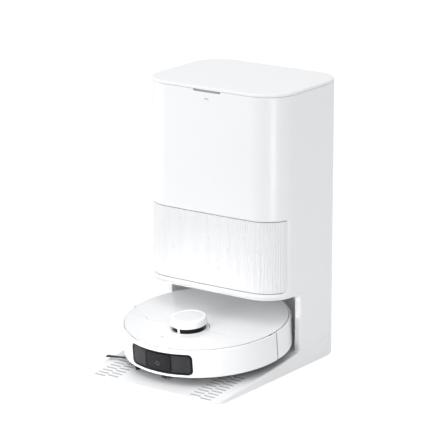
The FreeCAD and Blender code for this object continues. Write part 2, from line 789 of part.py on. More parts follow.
def lid_panel():
    """Top lid over the tanks: thin plate, locating rim and two hinge barrels."""
    piece = Piece("lid_panel")
    under = "station_height - lid_thick"
    piece.pad(plan(piece.sketch("XY", under)), "lid_thick")
    top = size("station_height")
    piece.soften("Fillet", "lid_thick * 0.45", lambda e: e.BoundBox.ZMin > top - 0.01)
    rim = plan(piece.sketch("XY", under + " - lid_rim"), "skin + slide_gap + 0.3")
    piece.pad(rim, "lid_rim + 0.5")
    inner = plan(piece.sketch("XY", under + " - lid_rim - 1"), "skin * 2 + slide_gap + 0.3")
    piece.pocket(inner, "lid_rim + 1", reverse=True)
    piece.box("-station_width", BACK + " - rim_stop", under + " - lid_rim - 1", "station_width * 2",
              "base_depth", "lid_rim + 1", cut=True)
    for side in ("-1", "1"):
        x = "(%s) * hinge_x - hinge_width / 2" % side
        piece.rod(x, HINGE_Y, HINGE_Z, "hinge_radius * 2", "hinge_width", "X")
        piece.box(x, HINGE_Y + " - hinge_radius * 2", HINGE_Z, "hinge_width", "hinge_radius * 4",
                  "hinge_drop + 1")
        piece.rod(x + " - 1", HINGE_Y, HINGE_Z, "hinge_radius + pin_fit", "hinge_width + 2", "X", cut=True)


def hinge_bridge():
    """Fixed bridge behind the tanks: two pins' ears and the wall that closes the compartment."""
    piece = Piece("hinge_bridge")
    wall_y = HINGE_Y + " - notch_drop - 5"
    low = HINGE_Z + " - notch_drop - 14"
    piece.box("-hinge_notch / 2 + 10", wall_y, low, "hinge_notch - 20", "3",
              "notch_drop + 14 + hinge_drop - 1")
    piece.box("-hinge_x - 28", wall_y, low, "hinge_x * 2 + 56", BACK + " - skin - 1 - (" + wall_y + ")",
              "3")
    for side in ("-1", "1"):
        for edge in ("-1", "1"):
            x = "(%s) * hinge_x + (%s) * (hinge_width / 2 + slide_gap + 2.5) - 2.5" % (side, edge)
            piece.box(x, HINGE_Y + " - hinge_radius * 2", low, "5", "hinge_radius * 2.4", "notch_drop + 14")
            piece.rod(x, HINGE_Y, HINGE_Z, "hinge_radius * 1.1", "5", "X")
        x = "(%s) * hinge_x - hinge_width / 2 - 3" % side
        piece.rod(x, HINGE_Y, HINGE_Z, "hinge_radius", "hinge_width + 6", "X")


def tank_outline(side, inset="0"):
    """Plan limits and corner radii of one water tank; side is -1 for left and 1 for right."""
    outer = "(%s - tank_gap - (%s))" % (INNER, inset)
    inner = "(tank_split + (%s))" % inset
    near = TOWER_FRONT + " + skin + tank_gap + 2 + " + inset
    far = HINGE_Y + " - notch_drop - 8 - " + inset
    big = "front_corner - skin - tank_gap - (%s)" % inset
    small = "10 - (%s)" % inset
    if side < 0:
        return ("-" + outer, "-" + inner, near, far, (big, small, small, "44 - (%s)" % inset))
    return (inner, outer, near, far, (small, big, "44 - (%s)" % inset, small))


def water_tank(label, side):
    """Lift-out water tank, open at the top where its cap seats."""
    piece = Piece(label)
    piece.pad(rounded(piece.sketch("XY", TANK_FLOOR), *tank_outline(side)), "tank_height")
    well = rounded(piece.sketch("XY", TANK_FLOOR + " + tank_wall"), *tank_outline(side, "tank_wall"))
    piece.pocket(well, "tank_height", reverse=True)


def tank_cap(label, side):
    """Tank cap with its carrying bow."""
    piece = Piece(label)
    top = TANK_FLOOR + " + tank_height"
    piece.pad(rounded(piece.sketch("XY", top), *tank_outline(side)), "tank_wall")
    middle = "(%d) * (tank_split + %s - tank_gap) / 2" % (side, INNER)
    low = top + " + tank_wall - 1"
    piece.box(middle + " - bow_width / 2", "bow_y", low, "bow_width", "12", "bow_height + 1")
    piece.box(middle + " - bow_width / 2 + 8", "bow_y - 1", low + " + 1", "bow_width - 16", "14",
              "bow_height - 6", cut=True)


def drawer_cover():
    """Fluted front of the dust drawer, wrapped round the tower's corners."""
    piece = Piece("drawer_cover")
    gap = "drawer_gap"
    low = "drawer_low + " + gap
    high = "drawer_high - " + gap
    piece.pad(plan(piece.sketch("XY", low)), "drawer_high - drawer_low - 2 * " + gap)
    piece.trim(plan(piece.sketch("XY"), "cover_thick"))
    frame = everything(piece.sketch("YZ"))
    radii = ("1", "drawer_foot_round - " + gap, "drawer_top_round - " + gap, "1")
    rounded(frame, FRONT + " * 2", "drawer_edge - " + gap, low, high, radii)
    piece.trim(frame)
    flutes(piece, low)


def flutes(piece, low):
    """Upright flutes: one set about the bow's centre and one about each front corner's centre."""
    cutter = "rib_pitch * 0.36"
    tall = "drawer_high - drawer_low"
    half_turn = "asin((station_width / 2 - front_corner) / (front_bow_radius - front_corner))"
    across = "floor(front_bow_radius * 2 * %s / 1rad / rib_pitch)" % half_turn
    middle = "(base_depth / 2 - tower_depth + front_bow_radius)"
    start_x = "((front_bow_radius + %s - rib_depth) * sin(-%s))" % (cutter, half_turn)
    start_y = "(%s - (front_bow_radius + %s - rib_depth) * cos(%s))" % (middle, cutter, half_turn)
    first = piece.rod(start_x, start_y, low, cutter, tall, cut=True)
    doc.recompute()
    piece.swing(first, "0", middle, "2 * " + half_turn, across + " + 1")
    corner_x = "(station_width / 2 - front_corner)"
    corner_y = "(%s - sqrt((front_bow_radius - front_corner) ^ 2 - %s ^ 2))" % (middle, corner_x)
    count = "floor(front_corner * flute_turn * pi / 180 / rib_pitch)"
    reach = "(front_corner + %s - rib_depth)" % cutter
    for side in ("-1", "1"):
        turn = "(%s + rib_pitch / front_corner * 1rad)" % half_turn
        x = "(%s) * (%s + %s * sin(%s))" % (side, corner_x, reach, turn)
        y = "%s - %s * cos(%s)" % (corner_y, reach, turn)
        flute = piece.rod(x, y, low, cutter, tall, cut=True)
        doc.recompute()
        spread = "(%s - 1) * rib_pitch / front_corner * 180 / pi" % count
        piece.swing(flute, "(%s) * %s" % (side, corner_x), corner_y, spread, count, reverse=side == "-1")


def drawer_box():
    """Open-topped tray behind the fluted cover that carries the dust bag."""
    piece = Piece("drawer_box")
    low = "drawer_low + 4"
    piece.pad(plan(piece.sketch("XY", low), "cover_thick"), "drawer_box_height")
    outside = everything(piece.sketch("XY"))
    rounded(outside, "-drawer_half", "drawer_half", FRONT, "drawer_reach", ("1", "12", "12", "1"))
    piece.trim(outside)
    well = ("drawer_wall - drawer_half", "drawer_half - drawer_wall", TOWER_FRONT + " + cover_thick + 6",
            "drawer_reach - drawer_wall")
    hollow = rounded(piece.sketch("XY", low + " + drawer_wall"), *well, ("20", "20", "9", "9"))
    piece.pocket(hollow, "station_height", reverse=True)


def dust_bag():
    """Soft dust bag, drawn as a closed cushion with its collar."""
    piece = Piece("dust_bag")
    low = "drawer_low + 4 + drawer_wall + 1"
    well = ("-bag_width / 2", "bag_width / 2", TOWER_FRONT + " + cover_thick + 16",
            "drawer_reach - drawer_wall - 14")
    piece.pad(rounded(piece.sketch("XY", low), *well, ("22", "22", "22", "22")), "bag_height")
    piece.rod("0", "drawer_reach - drawer_wall - 16", low + " + bag_height / 2", "18", "14", "Y")


def suction_motor():
    """Dust-collection fan behind the drawer."""
    piece = Piece("suction_motor")
    piece.rod("motor_x", "motor_y", "drawer_low + 2", "motor_radius", "motor_height")
    piece.rod("motor_x", "motor_y", "drawer_low + 2 + motor_height", "motor_radius * 0.7", "12")


def dust_duct():
    """Upright duct from the bay's back wall to the dust drawer."""
    piece = Piece("dust_duct")
    x = "-motor_x"
    piece.rod(x, "duct_y", "duct_low", "duct_radius", "bay_ceiling - duct_low - 0.2")
    piece.rod(x, "duct_y", "0", "duct_radius - skin", "station_height", cut=True)


def control_board():
    piece = Piece("control_board")
    face = BAY_BACK + " + liner_back"
    piece.box("-board_width / 2", face + " + 6", "board_low", "board_width", "2", "board_height")
    for side in ("-1", "1"):
        piece.rod("(%s) * board_width * 0.42" % side, face, "board_low + board_height / 2", "3", "7", "Y")
    piece.box("-board_width * 0.2", face + " + 7.5", "board_low + 12", "board_width * 0.4", "14",
              "board_height * 0.5")


def dock_contacts():
    """Pair of sprung charging plates that meet the robot's back."""
    parts = []
    for name, x in (("left", "-contact_step - contact_width"), ("right", "contact_step")):
        reach = BAY_BACK + " - contact_front"
        parts.append(block("dock_contact_" + name, x=x, y="contact_front", z="contact_z",
                           Length="contact_width", Width=reach, Height="contact_height"))
    several("dock_contacts", parts)


def ir_window():
    """Dark infrared window that guides the robot into the bay."""
    piece = Piece("ir_window")
    piece.box("-ir_width / 2", BAY_BACK + " - 0.6", "ir_z", "ir_width", "2", "ir_height")


# ---------------------------------------------------------------- robot body

def disc_ring(piece, low, outer, inner, height):
    """Plain ring about the robot's upright axis."""
    section = piece.sketch("XY", low)
    circle(section, "0", "0", outer)
    circle(section, "0", "0", inner)
    return piece.pad(section, height)


def robot_chassis():
    """Robot floor and skirt, open where wheels, brushes and mops pass through."""
    piece = Piece("robot_chassis", robot=True)
    piece.pad(circle(piece.sketch("XY", "floor_low"), "0", "0", "skirt_radius"), "floor_thick")
    disc_ring(piece, "floor_low", "skirt_radius", "skirt_radius - skirt_wall", COVER_LOW + " - floor_low")
    for side in ("-1", "1"):
        left = "(%s) * wheel_x - wheel_width / 2 - 5.5" % side
        piece.box(left, "arm_pivot_y - 10", "0", "wheel_width + 11", "wheel_radius + 16 - arm_pivot_y",
                  FLOOR_TOP + " + 1", cut=True)
        hole = "(%s) * mop_x" % side
        piece.rod(hole, "mop_y", "floor_low", "spindle + 4", "floor_thick + 6")
        piece.rod(hole, "mop_y", "0", "spindle + pin_fit", "floor_thick * 8", cut=True)
        arm_bracket(piece, int(side))
    piece.box("-brush_length / 2 - 6", "brush_y - brush_radius - 6", "0", "brush_length + 12",
              "brush_radius * 2 + 12", FLOOR_TOP + " + 1", cut=True)
    piece.rod("0", "caster_y", "floor_low", "fork_radius + 3.5", "caster_radius * 2 + 6 - floor_low")
    piece.rod("0", "caster_y", "0", "fork_radius + slide_gap", "caster_radius * 2 + 3", cut=True)
    piece.rod("side_brush_x", "side_brush_y", "floor_low", "spindle + 4", "floor_thick + 6")
    piece.rod("side_brush_x", "side_brush_y", "0", "spindle + pin_fit", "floor_thick * 8", cut=True)


def rear_wall():
    """Fixed side wall round the back half of the robot."""
    piece = Piece("rear_wall", robot=True)
    disc_ring(piece, "side_low", "robot_radius", "skirt_radius", "ring_height - 1 - side_low")
    top = size("ring_height") - 1.01
    edge = size("robot_radius") - 0.1
    piece.soften("Fillet", "2.5", lambda e: e.BoundBox.ZMin > top and e.BoundBox.XMax > edge)
    piece.box("-robot_radius * 2", "-robot_radius * 2", "0", "robot_radius * 4", "robot_radius * 2",
              "robot_height", cut=True)
    disc = "robot_radius - side_wall - bumper_travel"
    piece.rod("0", "0", COVER_LOW + " - 0.1", disc, "robot_height", cut=True)
    for x in ("-contact_step - contact_width - 1", "contact_step - 1"):
        piece.box(x, "robot_radius - 3", "contact_height * 2 - 1", "contact_width + 2", "10",
                  "contact_height + 2", cut=True)


def window_outline(piece, inset="0", half="window_half"):
    """Upright opening of the front window, seen from the nose."""
    left = "-(%s) + (%s)" % (half, inset)
    right = "(%s) - (%s)" % (half, inset)
    low = "window_low + " + inset
    high = "window_high - (%s)" % inset
    turn = "window_round - (%s)" % inset
    return rounded(piece.sketch("XZ"), left, right, low, high, (turn, turn, turn, turn))


def bumper():
    """Front half of the side wall; it springs back when the robot touches something."""
    piece = Piece("bumper", robot=True)
    disc_ring(piece, "side_low", "robot_radius", "robot_radius - side_wall", "ring_height - 1 - side_low")
    top = size("ring_height") - 1.01
    edge = size("robot_radius") - 0.1
    piece.soften("Fillet", "1.4", lambda e: e.BoundBox.ZMin > top and e.BoundBox.XMax > edge)
    piece.box("-robot_radius * 2", "-bumper_travel - 0.7", "0", "robot_radius * 4", "robot_radius * 2",
              "robot_height", cut=True)
    piece.pocket(window_outline(piece), "robot_radius * 2", reverse=True)


def curved_plate(piece, inner, outer):
    """Keep only what lies between two radii about the robot's upright axis."""
    outside = everything(piece.sketch("XY"))
    circle(outside, "0", "0", outer)
    piece.trim(outside)
    piece.trim(circle(piece.sketch("XY"), "0", "0", inner))


def front_window():
    """Glossy dark window let into the bumper, with the camera's raised bezel."""
    piece = Piece("front_window", robot=True)
    piece.pad(window_outline(piece, "0.1"), "robot_radius * 2")
    curved_plate(piece, "robot_radius - side_wall", "robot_radius - 0.3")
    piece.rod("0", "-robot_radius * 1.5", "lens_z", "lens_radius + 0.05", "robot_radius", "Y", cut=True)


def camera_bezel():
    piece = Piece("camera_bezel", robot=True)
    piece.pad(window_outline(piece, "1.5", "bezel_half"), "robot_radius * 2")
    curved_plate(piece, "robot_radius - 0.3", "robot_radius + 0.6")
    piece.rod("0", "-robot_radius * 1.5", "lens_z", "lens_radius + 0.05", "robot_radius", "Y", cut=True)


def camera_lens():
    piece = Piece("camera_lens", robot=True)
    piece.rod("0", "-robot_radius - 1", "lens_z", "lens_radius", "side_wall + 2", "Y")
    front = -size("robot_radius") - 0.9
    piece.soften("Chamfer", "0.6", lambda e: e.BoundBox.YMax < front)


def seam_corners(shift):
    """Joint line between the two top covers, from left to right, then round the front."""
    gap = "(%s)" % shift
    far = "(robot_radius * 1.2)"
    line = "(seam_y + %s)" % gap
    dip = "(seam_y - seam_dip + %s)" % gap
    return (
        ("-" + far, line), ("-seam_step_out", line), ("-seam_step_in", dip), ("-lidar_radius", line),
        ("lidar_radius", line), ("seam_step_in", dip), ("seam_step_out", line), (far, line),
    )


def front_cover():
    """Fixed top panel at the nose, with the turret's seat and the button holes."""
    piece = Piece("front_cover", robot=True)
    piece.pad(circle(piece.sketch("XY", COVER_LOW), "0", "0", COVER_R), "top_cover")
    far = "(robot_radius * 1.2)"
    behind = seam_corners("0") + ((far, far), ("-" + far, far))
    piece.trim(polygon(piece.sketch("XY"), behind))
    piece.rod("0", "lidar_y", COVER_LOW, "lidar_base_radius", "top_cover + 0.8")
    piece.rod("0", "lidar_y", "0", "rotor_radius + 2", "robot_height", cut=True)
    for i in (-1, 0, 1):
        piece.rod("(%d) * button_step" % i, "button_y", "0", "button_radius + 0.35", "robot_height",
                  cut=True)


def rear_cover():
    """Lift-off top panel over the dust bin."""
    piece = Piece("rear_cover", robot=True)
    piece.pad(circle(piece.sketch("XY", COVER_LOW), "0", "0", COVER_R), "top_cover")
    far = "(robot_radius * 1.2)"
    ahead = seam_corners("seam") + ((far, "-" + far), ("-" + far, "-" + far))
    piece.trim(polygon(piece.sketch("XY"), ahead))
    piece.rod("0", "lidar_y", "0", "lidar_base_radius + seam", "robot_height", cut=True)


def lidar_window():
    """Dark band the laser looks through."""
    piece = Piece("lidar_window", robot=True)
    band = piece.sketch("XY", "ring_height + 0.8")
    circle(band, "0", "lidar_y", "lidar_radius - 2.5")
    circle(band, "0", "lidar_y", "rotor_radius + 2.5")
    piece.pad(band, "lidar_slot")


def lidar_cap():
    """Turret cap on three narrow posts."""
    piece = Piece("lidar_cap", robot=True)
    low = "(ring_height + 0.8 + lidar_slot)"
    piece.rod("0", "lidar_y", low, "lidar_radius", "robot_height - " + low)
    top = size("robot_height") - 0.01
    piece.soften("Fillet", "cap_round", lambda e: e.BoundBox.ZMin > top)
    for turn in ("post_turn", "post_turn + 120", "post_turn + 240"):
        x = "(lidar_radius - 1.6) * sin((%s) * 1deg)" % turn
        y = "lidar_y - (lidar_radius - 1.6) * cos((%s) * 1deg)" % turn
        piece.rod(x, y, "ring_height + 0.8", "0.9", "lidar_slot + 1")


def lidar_rotor():
    """Spinning laser head under the cap."""
    piece = Piece("lidar_rotor", robot=True)
    piece.rod("0", "lidar_y", "rotor_low", "rotor_radius", "rotor_height")
    piece.box("-rotor_radius * 0.7", "lidar_y - rotor_radius - 1", "rotor_low + rotor_height - 8",
              "rotor_radius * 1.4", "6", "5", cut=True)


def button(label, step):
    piece = Piece(label, robot=True)
    low = COVER_LOW + " + button_press + 0.3"
    piece.rod("(%d) * button_step" % step, "button_y", low, "button_radius",
              "ring_height + 0.6 - (%s)" % low)


# ---------------------------------------------------------------- inside the robot

def dust_bin():
    """Dust bin under the rear cover, closed by its own lid."""
    piece = Piece("dust_bin", robot=True)
    outline = ("-bin_width / 2", "bin_width / 2", "bin_y", "bin_y + bin_depth")
    low = FLOOR_TOP + " + 7"
    piece.pad(rounded(piece.sketch("XY", low), *outline, ("12", "12", "12", "12")),
              COVER_LOW + " - 1 - (%s)" % low)
    inner = ("-bin_width / 2 + 2", "bin_width / 2 - 2", "bin_y + 2", "bin_y + bin_depth - 2")
    hollow = rounded(piece.sketch("XY", low + " + 2"), *inner, ("10", "10", "10", "10"))
    piece.pocket(hollow, COVER_LOW + " - 5 - (%s)" % low, reverse=True)


def battery_pack():
    piece = Piece("battery_pack", robot=True)
    piece.box("-battery_width / 2", "battery_y", "caster_radius * 2 + 6", "battery_width",
              "battery_depth", "26")


def robot_board():
    piece = Piece("robot_board", robot=True)
    low = "caster_radius * 2 + 6 + 26"
    piece.box("-battery_width / 2", "battery_y", low, "battery_width", "battery_depth", "1.6")
    piece.box("-20", "battery_y + 8", low + " + 1.6", "40", "14", "4")
    for i in (-1, 0, 1):
        piece.rod("(%d) * button_step" % i, "button_y", low + " + 1.6", "3", "6")


def robot_fan():
    """Suction fan between brush housing and dust bin."""
    piece = Piece("robot_fan", robot=True)
    piece.rod("0", "fan_y", "housing_top", "fan_radius", "22")


def main_brush():
    """Bristle roller with its end journals."""
    piece = Piece("main_brush", robot=True)
    half = "brush_length / 2"
    piece.rod("-" + half, "brush_y", "brush_height", "brush_radius - 4", "brush_length", "X")
    piece.box("-" + half + " + 2", "brush_y - 1.2", "brush_height - brush_radius", "brush_length - 4",
              "2.4", "brush_radius * 2")
    piece.box("-" + half + " + 2", "brush_y - brush_radius", "brush_height - 1.2", "brush_length - 4",
              "brush_radius * 2", "2.4")
    piece.rod("-" + half + " - 4", "brush_y", "brush_height", "spindle", "brush_length + 8", "X")


def brush_housing():
    """Tunnel over the roller, with the bores its journals turn in."""
    piece = Piece("brush_housing", robot=True)
    wide = "(brush_length + 10)"
    piece.box("-%s / 2" % wide, "brush_y - brush_radius - 5", "floor_low", wide, "brush_radius * 2 + 10",
              "housing_top - floor_low")
    piece.rod("-brush_length / 2 - 0.6", "brush_y", "brush_height", "brush_radius + 1.5",
              "brush_length + 1.2", "X", cut=True)
    piece.box("-brush_length / 2 - 0.6", "brush_y - brush_radius - 1.5", "0", "brush_length + 1.2",
              "brush_radius * 2 + 3", "brush_height", cut=True)
    piece.rod("-%s" % wide, "brush_y", "brush_height", "spindle + pin_fit", "%s * 2" % wide, "X", cut=True)


def brush_spot(reach, aside):
    """Point of the corner brush's first arm, counted along the arm and to one side of it."""
    along, across = "cos(side_brush_turn * 1deg)", "sin(side_brush_turn * 1deg)"
    x = "side_brush_x - (%s) * %s - (%s) * %s" % (reach, along, aside, across)
    y = "side_brush_y - (%s) * %s + (%s) * %s" % (reach, across, aside, along)
    return x, y


def side_brush():
    """Three-armed corner brush on its spindle."""
    piece = Piece("side_brush", robot=True)
    piece.rod("side_brush_x", "side_brush_y", "side_brush_low", "12", "floor_low - 0.5 - side_brush_low")
    piece.rod("side_brush_x", "side_brush_y", "side_brush_low", "spindle",
              FLOOR_TOP + " + 5 - side_brush_low")
    spread = (("6", "2.6"), ("side_brush_reach", "5"), ("side_brush_reach", "-5"), ("6", "-2.6"))
    corners = [brush_spot(reach, aside) for reach, aside in spread]
    outline = polygon(piece.sketch("XY", "side_brush_low"), corners)
    arm = piece.pad(outline, "2.4")
    doc.recompute()
    piece.swing(arm, "side_brush_x", "side_brush_y", "360", "3")


def from_side(side, low, length):
    """Left end of a span that starts at |x| = low on the given side of the robot."""
    return low if side > 0 else "-(%s) - (%s)" % (low, length)


def wheel_arm(label, side):
    """Swinging arm that carries one drive wheel, on the inner side of the wheel."""
    piece = Piece(label, robot=True)
    left = from_side(side, "arm_inner", "arm_thick")
    piece.box(left, "arm_pivot_y", "arm_pivot_z - arm_boss", "arm_thick", "6 - arm_pivot_y",
              "arm_boss * 2 - 3")
    piece.rod(left, "arm_pivot_y", "arm_pivot_z", "arm_boss", "arm_thick", "X")
    piece.rod(left, "0", "wheel_radius", "arm_boss + 1", "arm_thick", "X")
    axle = "(wheel_width + arm_thick + arm_gap)"
    piece.rod(from_side(side, "arm_inner", axle), "0", "wheel_radius", "spindle", axle, "X")
    piece.rod(from_side(side, "arm_inner - 1", "arm_thick + 2"), "arm_pivot_y", "arm_pivot_z",
              "pivot_radius + pin_fit", "arm_thick + 2", "X", cut=True)


def arm_bracket(piece, side):
    """Upright ear on the robot's floor with the pin a wheel arm swings on."""
    gap = "slide_gap"
    start = "arm_inner - %s - bracket_thick" % gap
    piece.box(from_side(side, start, "bracket_thick"), "arm_pivot_y - arm_boss", "floor_low",
              "bracket_thick", "arm_boss * 2", "arm_pivot_z + arm_boss - floor_low")
    pin = "(bracket_thick + %s + arm_thick + %s)" % (gap, gap)
    piece.rod(from_side(side, start, pin), "arm_pivot_y", "arm_pivot_z", "pivot_radius", pin, "X")


def drive_wheel(label, side):
    """Rubber-tyred drive wheel with tread blocks."""
    piece = Piece(label, robot=True)
    left = "(%d) * wheel_x - wheel_width / 2" % side
    piece.rod(left, "0", "wheel_radius", "wheel_radius - 1.5", "wheel_width", "X")
    piece.rod(left + " + 2", "0", "wheel_radius", "wheel_radius", "wheel_width - 4", "X")
    piece.rod(left + " - 1", "0", "wheel_radius", "spindle + pin_fit", "wheel_width + 2", "X", cut=True)
    for face in (left + " - 1", left + " + wheel_width - 3"):
        recess = piece.sketch("YZ", face)
        circle(recess, "0", "wheel_radius", "wheel_radius - 9")
        circle(recess, "0", "wheel_radius", "spindle + 5")
        piece.pocket(recess, "4", reverse=True)


def caster_fork():
    """Swivelling housing of the nose caster."""
    piece = Piece("caster_fork", robot=True)
    piece.rod("0", "caster_y", "caster_low", "fork_radius", "caster_radius * 2 + 2.4 - caster_low")
    piece.box("-caster_width / 2 - slide_gap", "caster_y - fork_radius + 1.5", "0",
              "caster_width + 2 * slide_gap", "fork_radius * 2 - 3", "caster_radius * 2 + 0.8", cut=True)
    piece.rod("-caster_width / 2 - 2", "caster_y + caster_trail - 1", "caster_radius", "2",
              "caster_width + 4", "X")


def caster_wheel():
    piece = Piece("caster_wheel", robot=True)
    left = "-caster_width / 2"
    y = "caster_y + caster_trail - 1"
    piece.rod(left, y, "caster_radius", "caster_radius", "caster_width", "X")
    piece.rod(left + " - 1", y, "caster_radius", "2 + pin_fit", "caster_width + 2", "X", cut=True)


def mop_holder(label, side):
    """Turning plate that a mop pad clings to."""
    piece = Piece(label, robot=True)
    x = "(%d) * mop_x" % side
    top = "mop_pad_low + mop_pad_thick"
    piece.rod(x, "mop_y", top, "mop_radius - 3", "floor_low - 0.6 - (%s)" % top)
    piece.rod(x, "mop_y", top, "spindle", "floor_low + floor_thick + 5 - (%s)" % top)


def mop_pad(label, side):
    """Soft round mop pad."""
    piece = Piece(label, robot=True)
    piece.rod("(%d) * mop_x" % side, "mop_y", "mop_pad_low", "mop_radius", "mop_pad_thick")
    piece.soften("Fillet", "mop_pad_thick * 0.3", lambda e: e.BoundBox.XLength > 1)


def robot_contacts():
    """Charging plates in the robot's back."""
    parts = []
    for name, x in (("left", "-contact_step - contact_width"), ("right", "contact_step")):
        parts.append(block("robot_contact_" + name, x=x, y="robot_radius - 3", z="contact_height * 2",
                           Length="contact_width", Width="3.2", Height="contact_height"))
    several("robot_contacts", parts, robot=True)


# ---------------------------------------------------------------- build and check

def build_station():
    base_ramp()
    ramp_tread("ramp_tread_left", "-1")
    ramp_tread("ramp_tread_right", "1")
    rubber_feet()
    wash_tray()
    tower_shell()
    bay_liner()
    mid_deck()
    tank_deck()
    status_led()
    power_inlet()
    rear_hatch()
    lid_panel()
    hinge_bridge()
    for label, side in (("clean", -1), ("dirty", 1)):
        water_tank(label + "_tank", side)
        tank_cap(label + "_tank_cap", side)
    drawer_cover()
    drawer_box()
    dust_bag()
    suction_motor()
    dust_duct()
    control_board()
    dock_contacts()
    ir_window()


def build_robot():
    robot_chassis()
    rear_wall()
    bumper()
    front_window()
    camera_bezel()
    camera_lens()
    front_cover()
    rear_cover()
    lidar_window()
    lidar_cap()
    lidar_rotor()
    for label, step in (("button_clean", -1), ("button_power", 0), ("button_dock", 1)):
        button(label, step)
    dust_bin()
    battery_pack()
    robot_board()
    robot_fan()
    main_brush()
    brush_housing()
    side_brush()
    caster_fork()
    caster_wheel()
    for name, side in (("left", -1), ("right", 1)):
        wheel_arm("wheel_arm_" + name, side)
        drive_wheel("drive_wheel_" + name, side)
        mop_holder("mop_holder_" + name, side)
        mop_pad("mop_pad_" + name, side)
    robot_contacts()


def check_and_write():
    """Stop on any failed feature, then write one file per sub-part."""
    doc.recompute()
    for item in doc.Objects:
        if "Invalid" in item.State or "Error" in item.State:
            raise RuntimeError("%s: %s" % (item.Label, item.State))
    os.makedirs("parts", exist_ok=True)
    for node in NODES:
        shape = node.Shape
        if shape.isNull() or not shape.isValid():
            raise RuntimeError(node.Label + ": no valid shape")
        shape.exportStep("parts/%s.step" % node.Label)
    print("%d sub-parts written" % len(NODES))


build_station()
build_robot()
check_and_write()
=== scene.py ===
"""Looks of a robot vacuum parked on the ramp of its base station.

Everything is in metres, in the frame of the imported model: origin at the centre of the footprint
on the floor, +X to the right, +Y to the back, +Z up. The robot's pieces are drawn in the robot's
own frame (origin on the ramp under its centre, nose towards -Y) and placed by ROBOT.
"""
import bmesh
import bpy
import json
import math
import random
from mathutils import Matrix, Vector, noise
from mathutils.geometry import tessellate_polygon


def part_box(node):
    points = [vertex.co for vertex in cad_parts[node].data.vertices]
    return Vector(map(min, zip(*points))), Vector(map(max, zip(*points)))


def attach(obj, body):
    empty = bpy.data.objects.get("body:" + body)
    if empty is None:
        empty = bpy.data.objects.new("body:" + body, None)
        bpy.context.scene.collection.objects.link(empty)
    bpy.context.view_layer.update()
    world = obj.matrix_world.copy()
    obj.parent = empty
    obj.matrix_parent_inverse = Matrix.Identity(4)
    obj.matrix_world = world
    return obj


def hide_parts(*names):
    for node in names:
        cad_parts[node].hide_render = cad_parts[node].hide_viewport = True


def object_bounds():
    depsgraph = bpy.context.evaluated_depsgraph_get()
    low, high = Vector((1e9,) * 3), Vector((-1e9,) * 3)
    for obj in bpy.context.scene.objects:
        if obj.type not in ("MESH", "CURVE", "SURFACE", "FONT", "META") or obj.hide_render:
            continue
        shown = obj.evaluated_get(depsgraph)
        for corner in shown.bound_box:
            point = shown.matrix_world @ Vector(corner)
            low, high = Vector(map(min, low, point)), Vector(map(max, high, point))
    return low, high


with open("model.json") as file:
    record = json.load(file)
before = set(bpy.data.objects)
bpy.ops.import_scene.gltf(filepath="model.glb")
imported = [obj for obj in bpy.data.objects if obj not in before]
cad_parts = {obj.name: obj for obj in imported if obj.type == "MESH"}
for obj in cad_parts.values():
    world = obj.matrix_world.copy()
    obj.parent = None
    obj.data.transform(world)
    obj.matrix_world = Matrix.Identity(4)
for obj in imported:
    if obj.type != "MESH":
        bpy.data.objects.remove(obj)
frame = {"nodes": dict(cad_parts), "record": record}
cad_low, cad_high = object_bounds()

MM = 0.001
TAU = 2 * math.pi
JOINTS = {joint["name"]: joint for joint in frame["record"]["behaviour"]["joints"]}

# ---------------------------------------------------------------- sizes

shell_low, shell_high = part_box("tower_shell")
ramp_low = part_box("base_ramp")[0]
HALF = shell_high.x
BACK = shell_high.y
FRONT = shell_low.y
BODY_TOP = shell_high.z
TOP = cad_high.z
RAMP_FRONT = ramp_low.y
FOOT = ramp_low.z
BOW = 5000 * MM
CORNER = 66 * MM
SKIN = 3 * MM
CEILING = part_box("mid_deck")[0].z
DRAWER_LOW = CEILING + 13.5 * MM
DRAWER_HIGH = DRAWER_LOW + 153 * MM
BAY_EDGE = 63.1 * MM
BAY_TURN = 8 * MM
BAY_ROUND = 6 * MM
BAY_RETURN = 13.6 * MM
BAY_CEILING = CEILING - 0.4 * MM
FINGER_HALF = 33.5 * MM
FINGER_DROP = 4.4 * MM
RAMP_LIP = 6.2 * MM

forward = Vector(JOINTS["robot_undock"]["axis"])
PITCH = math.asin(-forward.z)
UP = Vector((0, -math.sin(PITCH), math.cos(PITCH)))
wheel_low, wheel_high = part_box("drive_wheel_right")
WHEEL_R = (wheel_high.y - wheel_low.y) / 2
wheel_centre = (wheel_low + wheel_high) / 2
robot_origin = wheel_centre - UP * WHEEL_R
robot_origin.x = 0
ROBOT = Matrix.Translation(robot_origin) @ Matrix.Rotation(PITCH, 4, "X")
ROBOT_BACK = ROBOT.inverted()
DISC = 175 * MM
RING_TOP = 77 * MM
COVER_TOP = 78 * MM
COVER_R = 169.8 * MM
TURRET_Y = -61 * MM
TURRET_R = 37.5 * MM
SEAT_R = 41.5 * MM


def ramp_height(y):
    """Height of the ramp's sloping top at depth y."""
    return RAMP_LIP + math.tan(PITCH) * (y - RAMP_FRONT)


# ---------------------------------------------------------------- camera, floor and light

CAMERA_SPOT = (3.02256, -4.27323, 1.72867)
CAMERA_DOWN = 15.20
CAMERA_TURN = 35.16
CAMERA_LENS = 216.2


def build_camera():
    """Long lens from the front right, looking a little down; angles in degrees."""
    data = bpy.data.cameras.new("camera")
    data.sensor_width = 36
    data.lens = CAMERA_LENS
    data.clip_end = 100
    camera = bpy.data.objects.new("camera", data)
    camera.location = CAMERA_SPOT
    camera.rotation_euler = (math.radians(90 - CAMERA_DOWN), 0, math.radians(CAMERA_TURN))
    bpy.context.scene.collection.objects.link(camera)
    bpy.context.scene.camera = camera


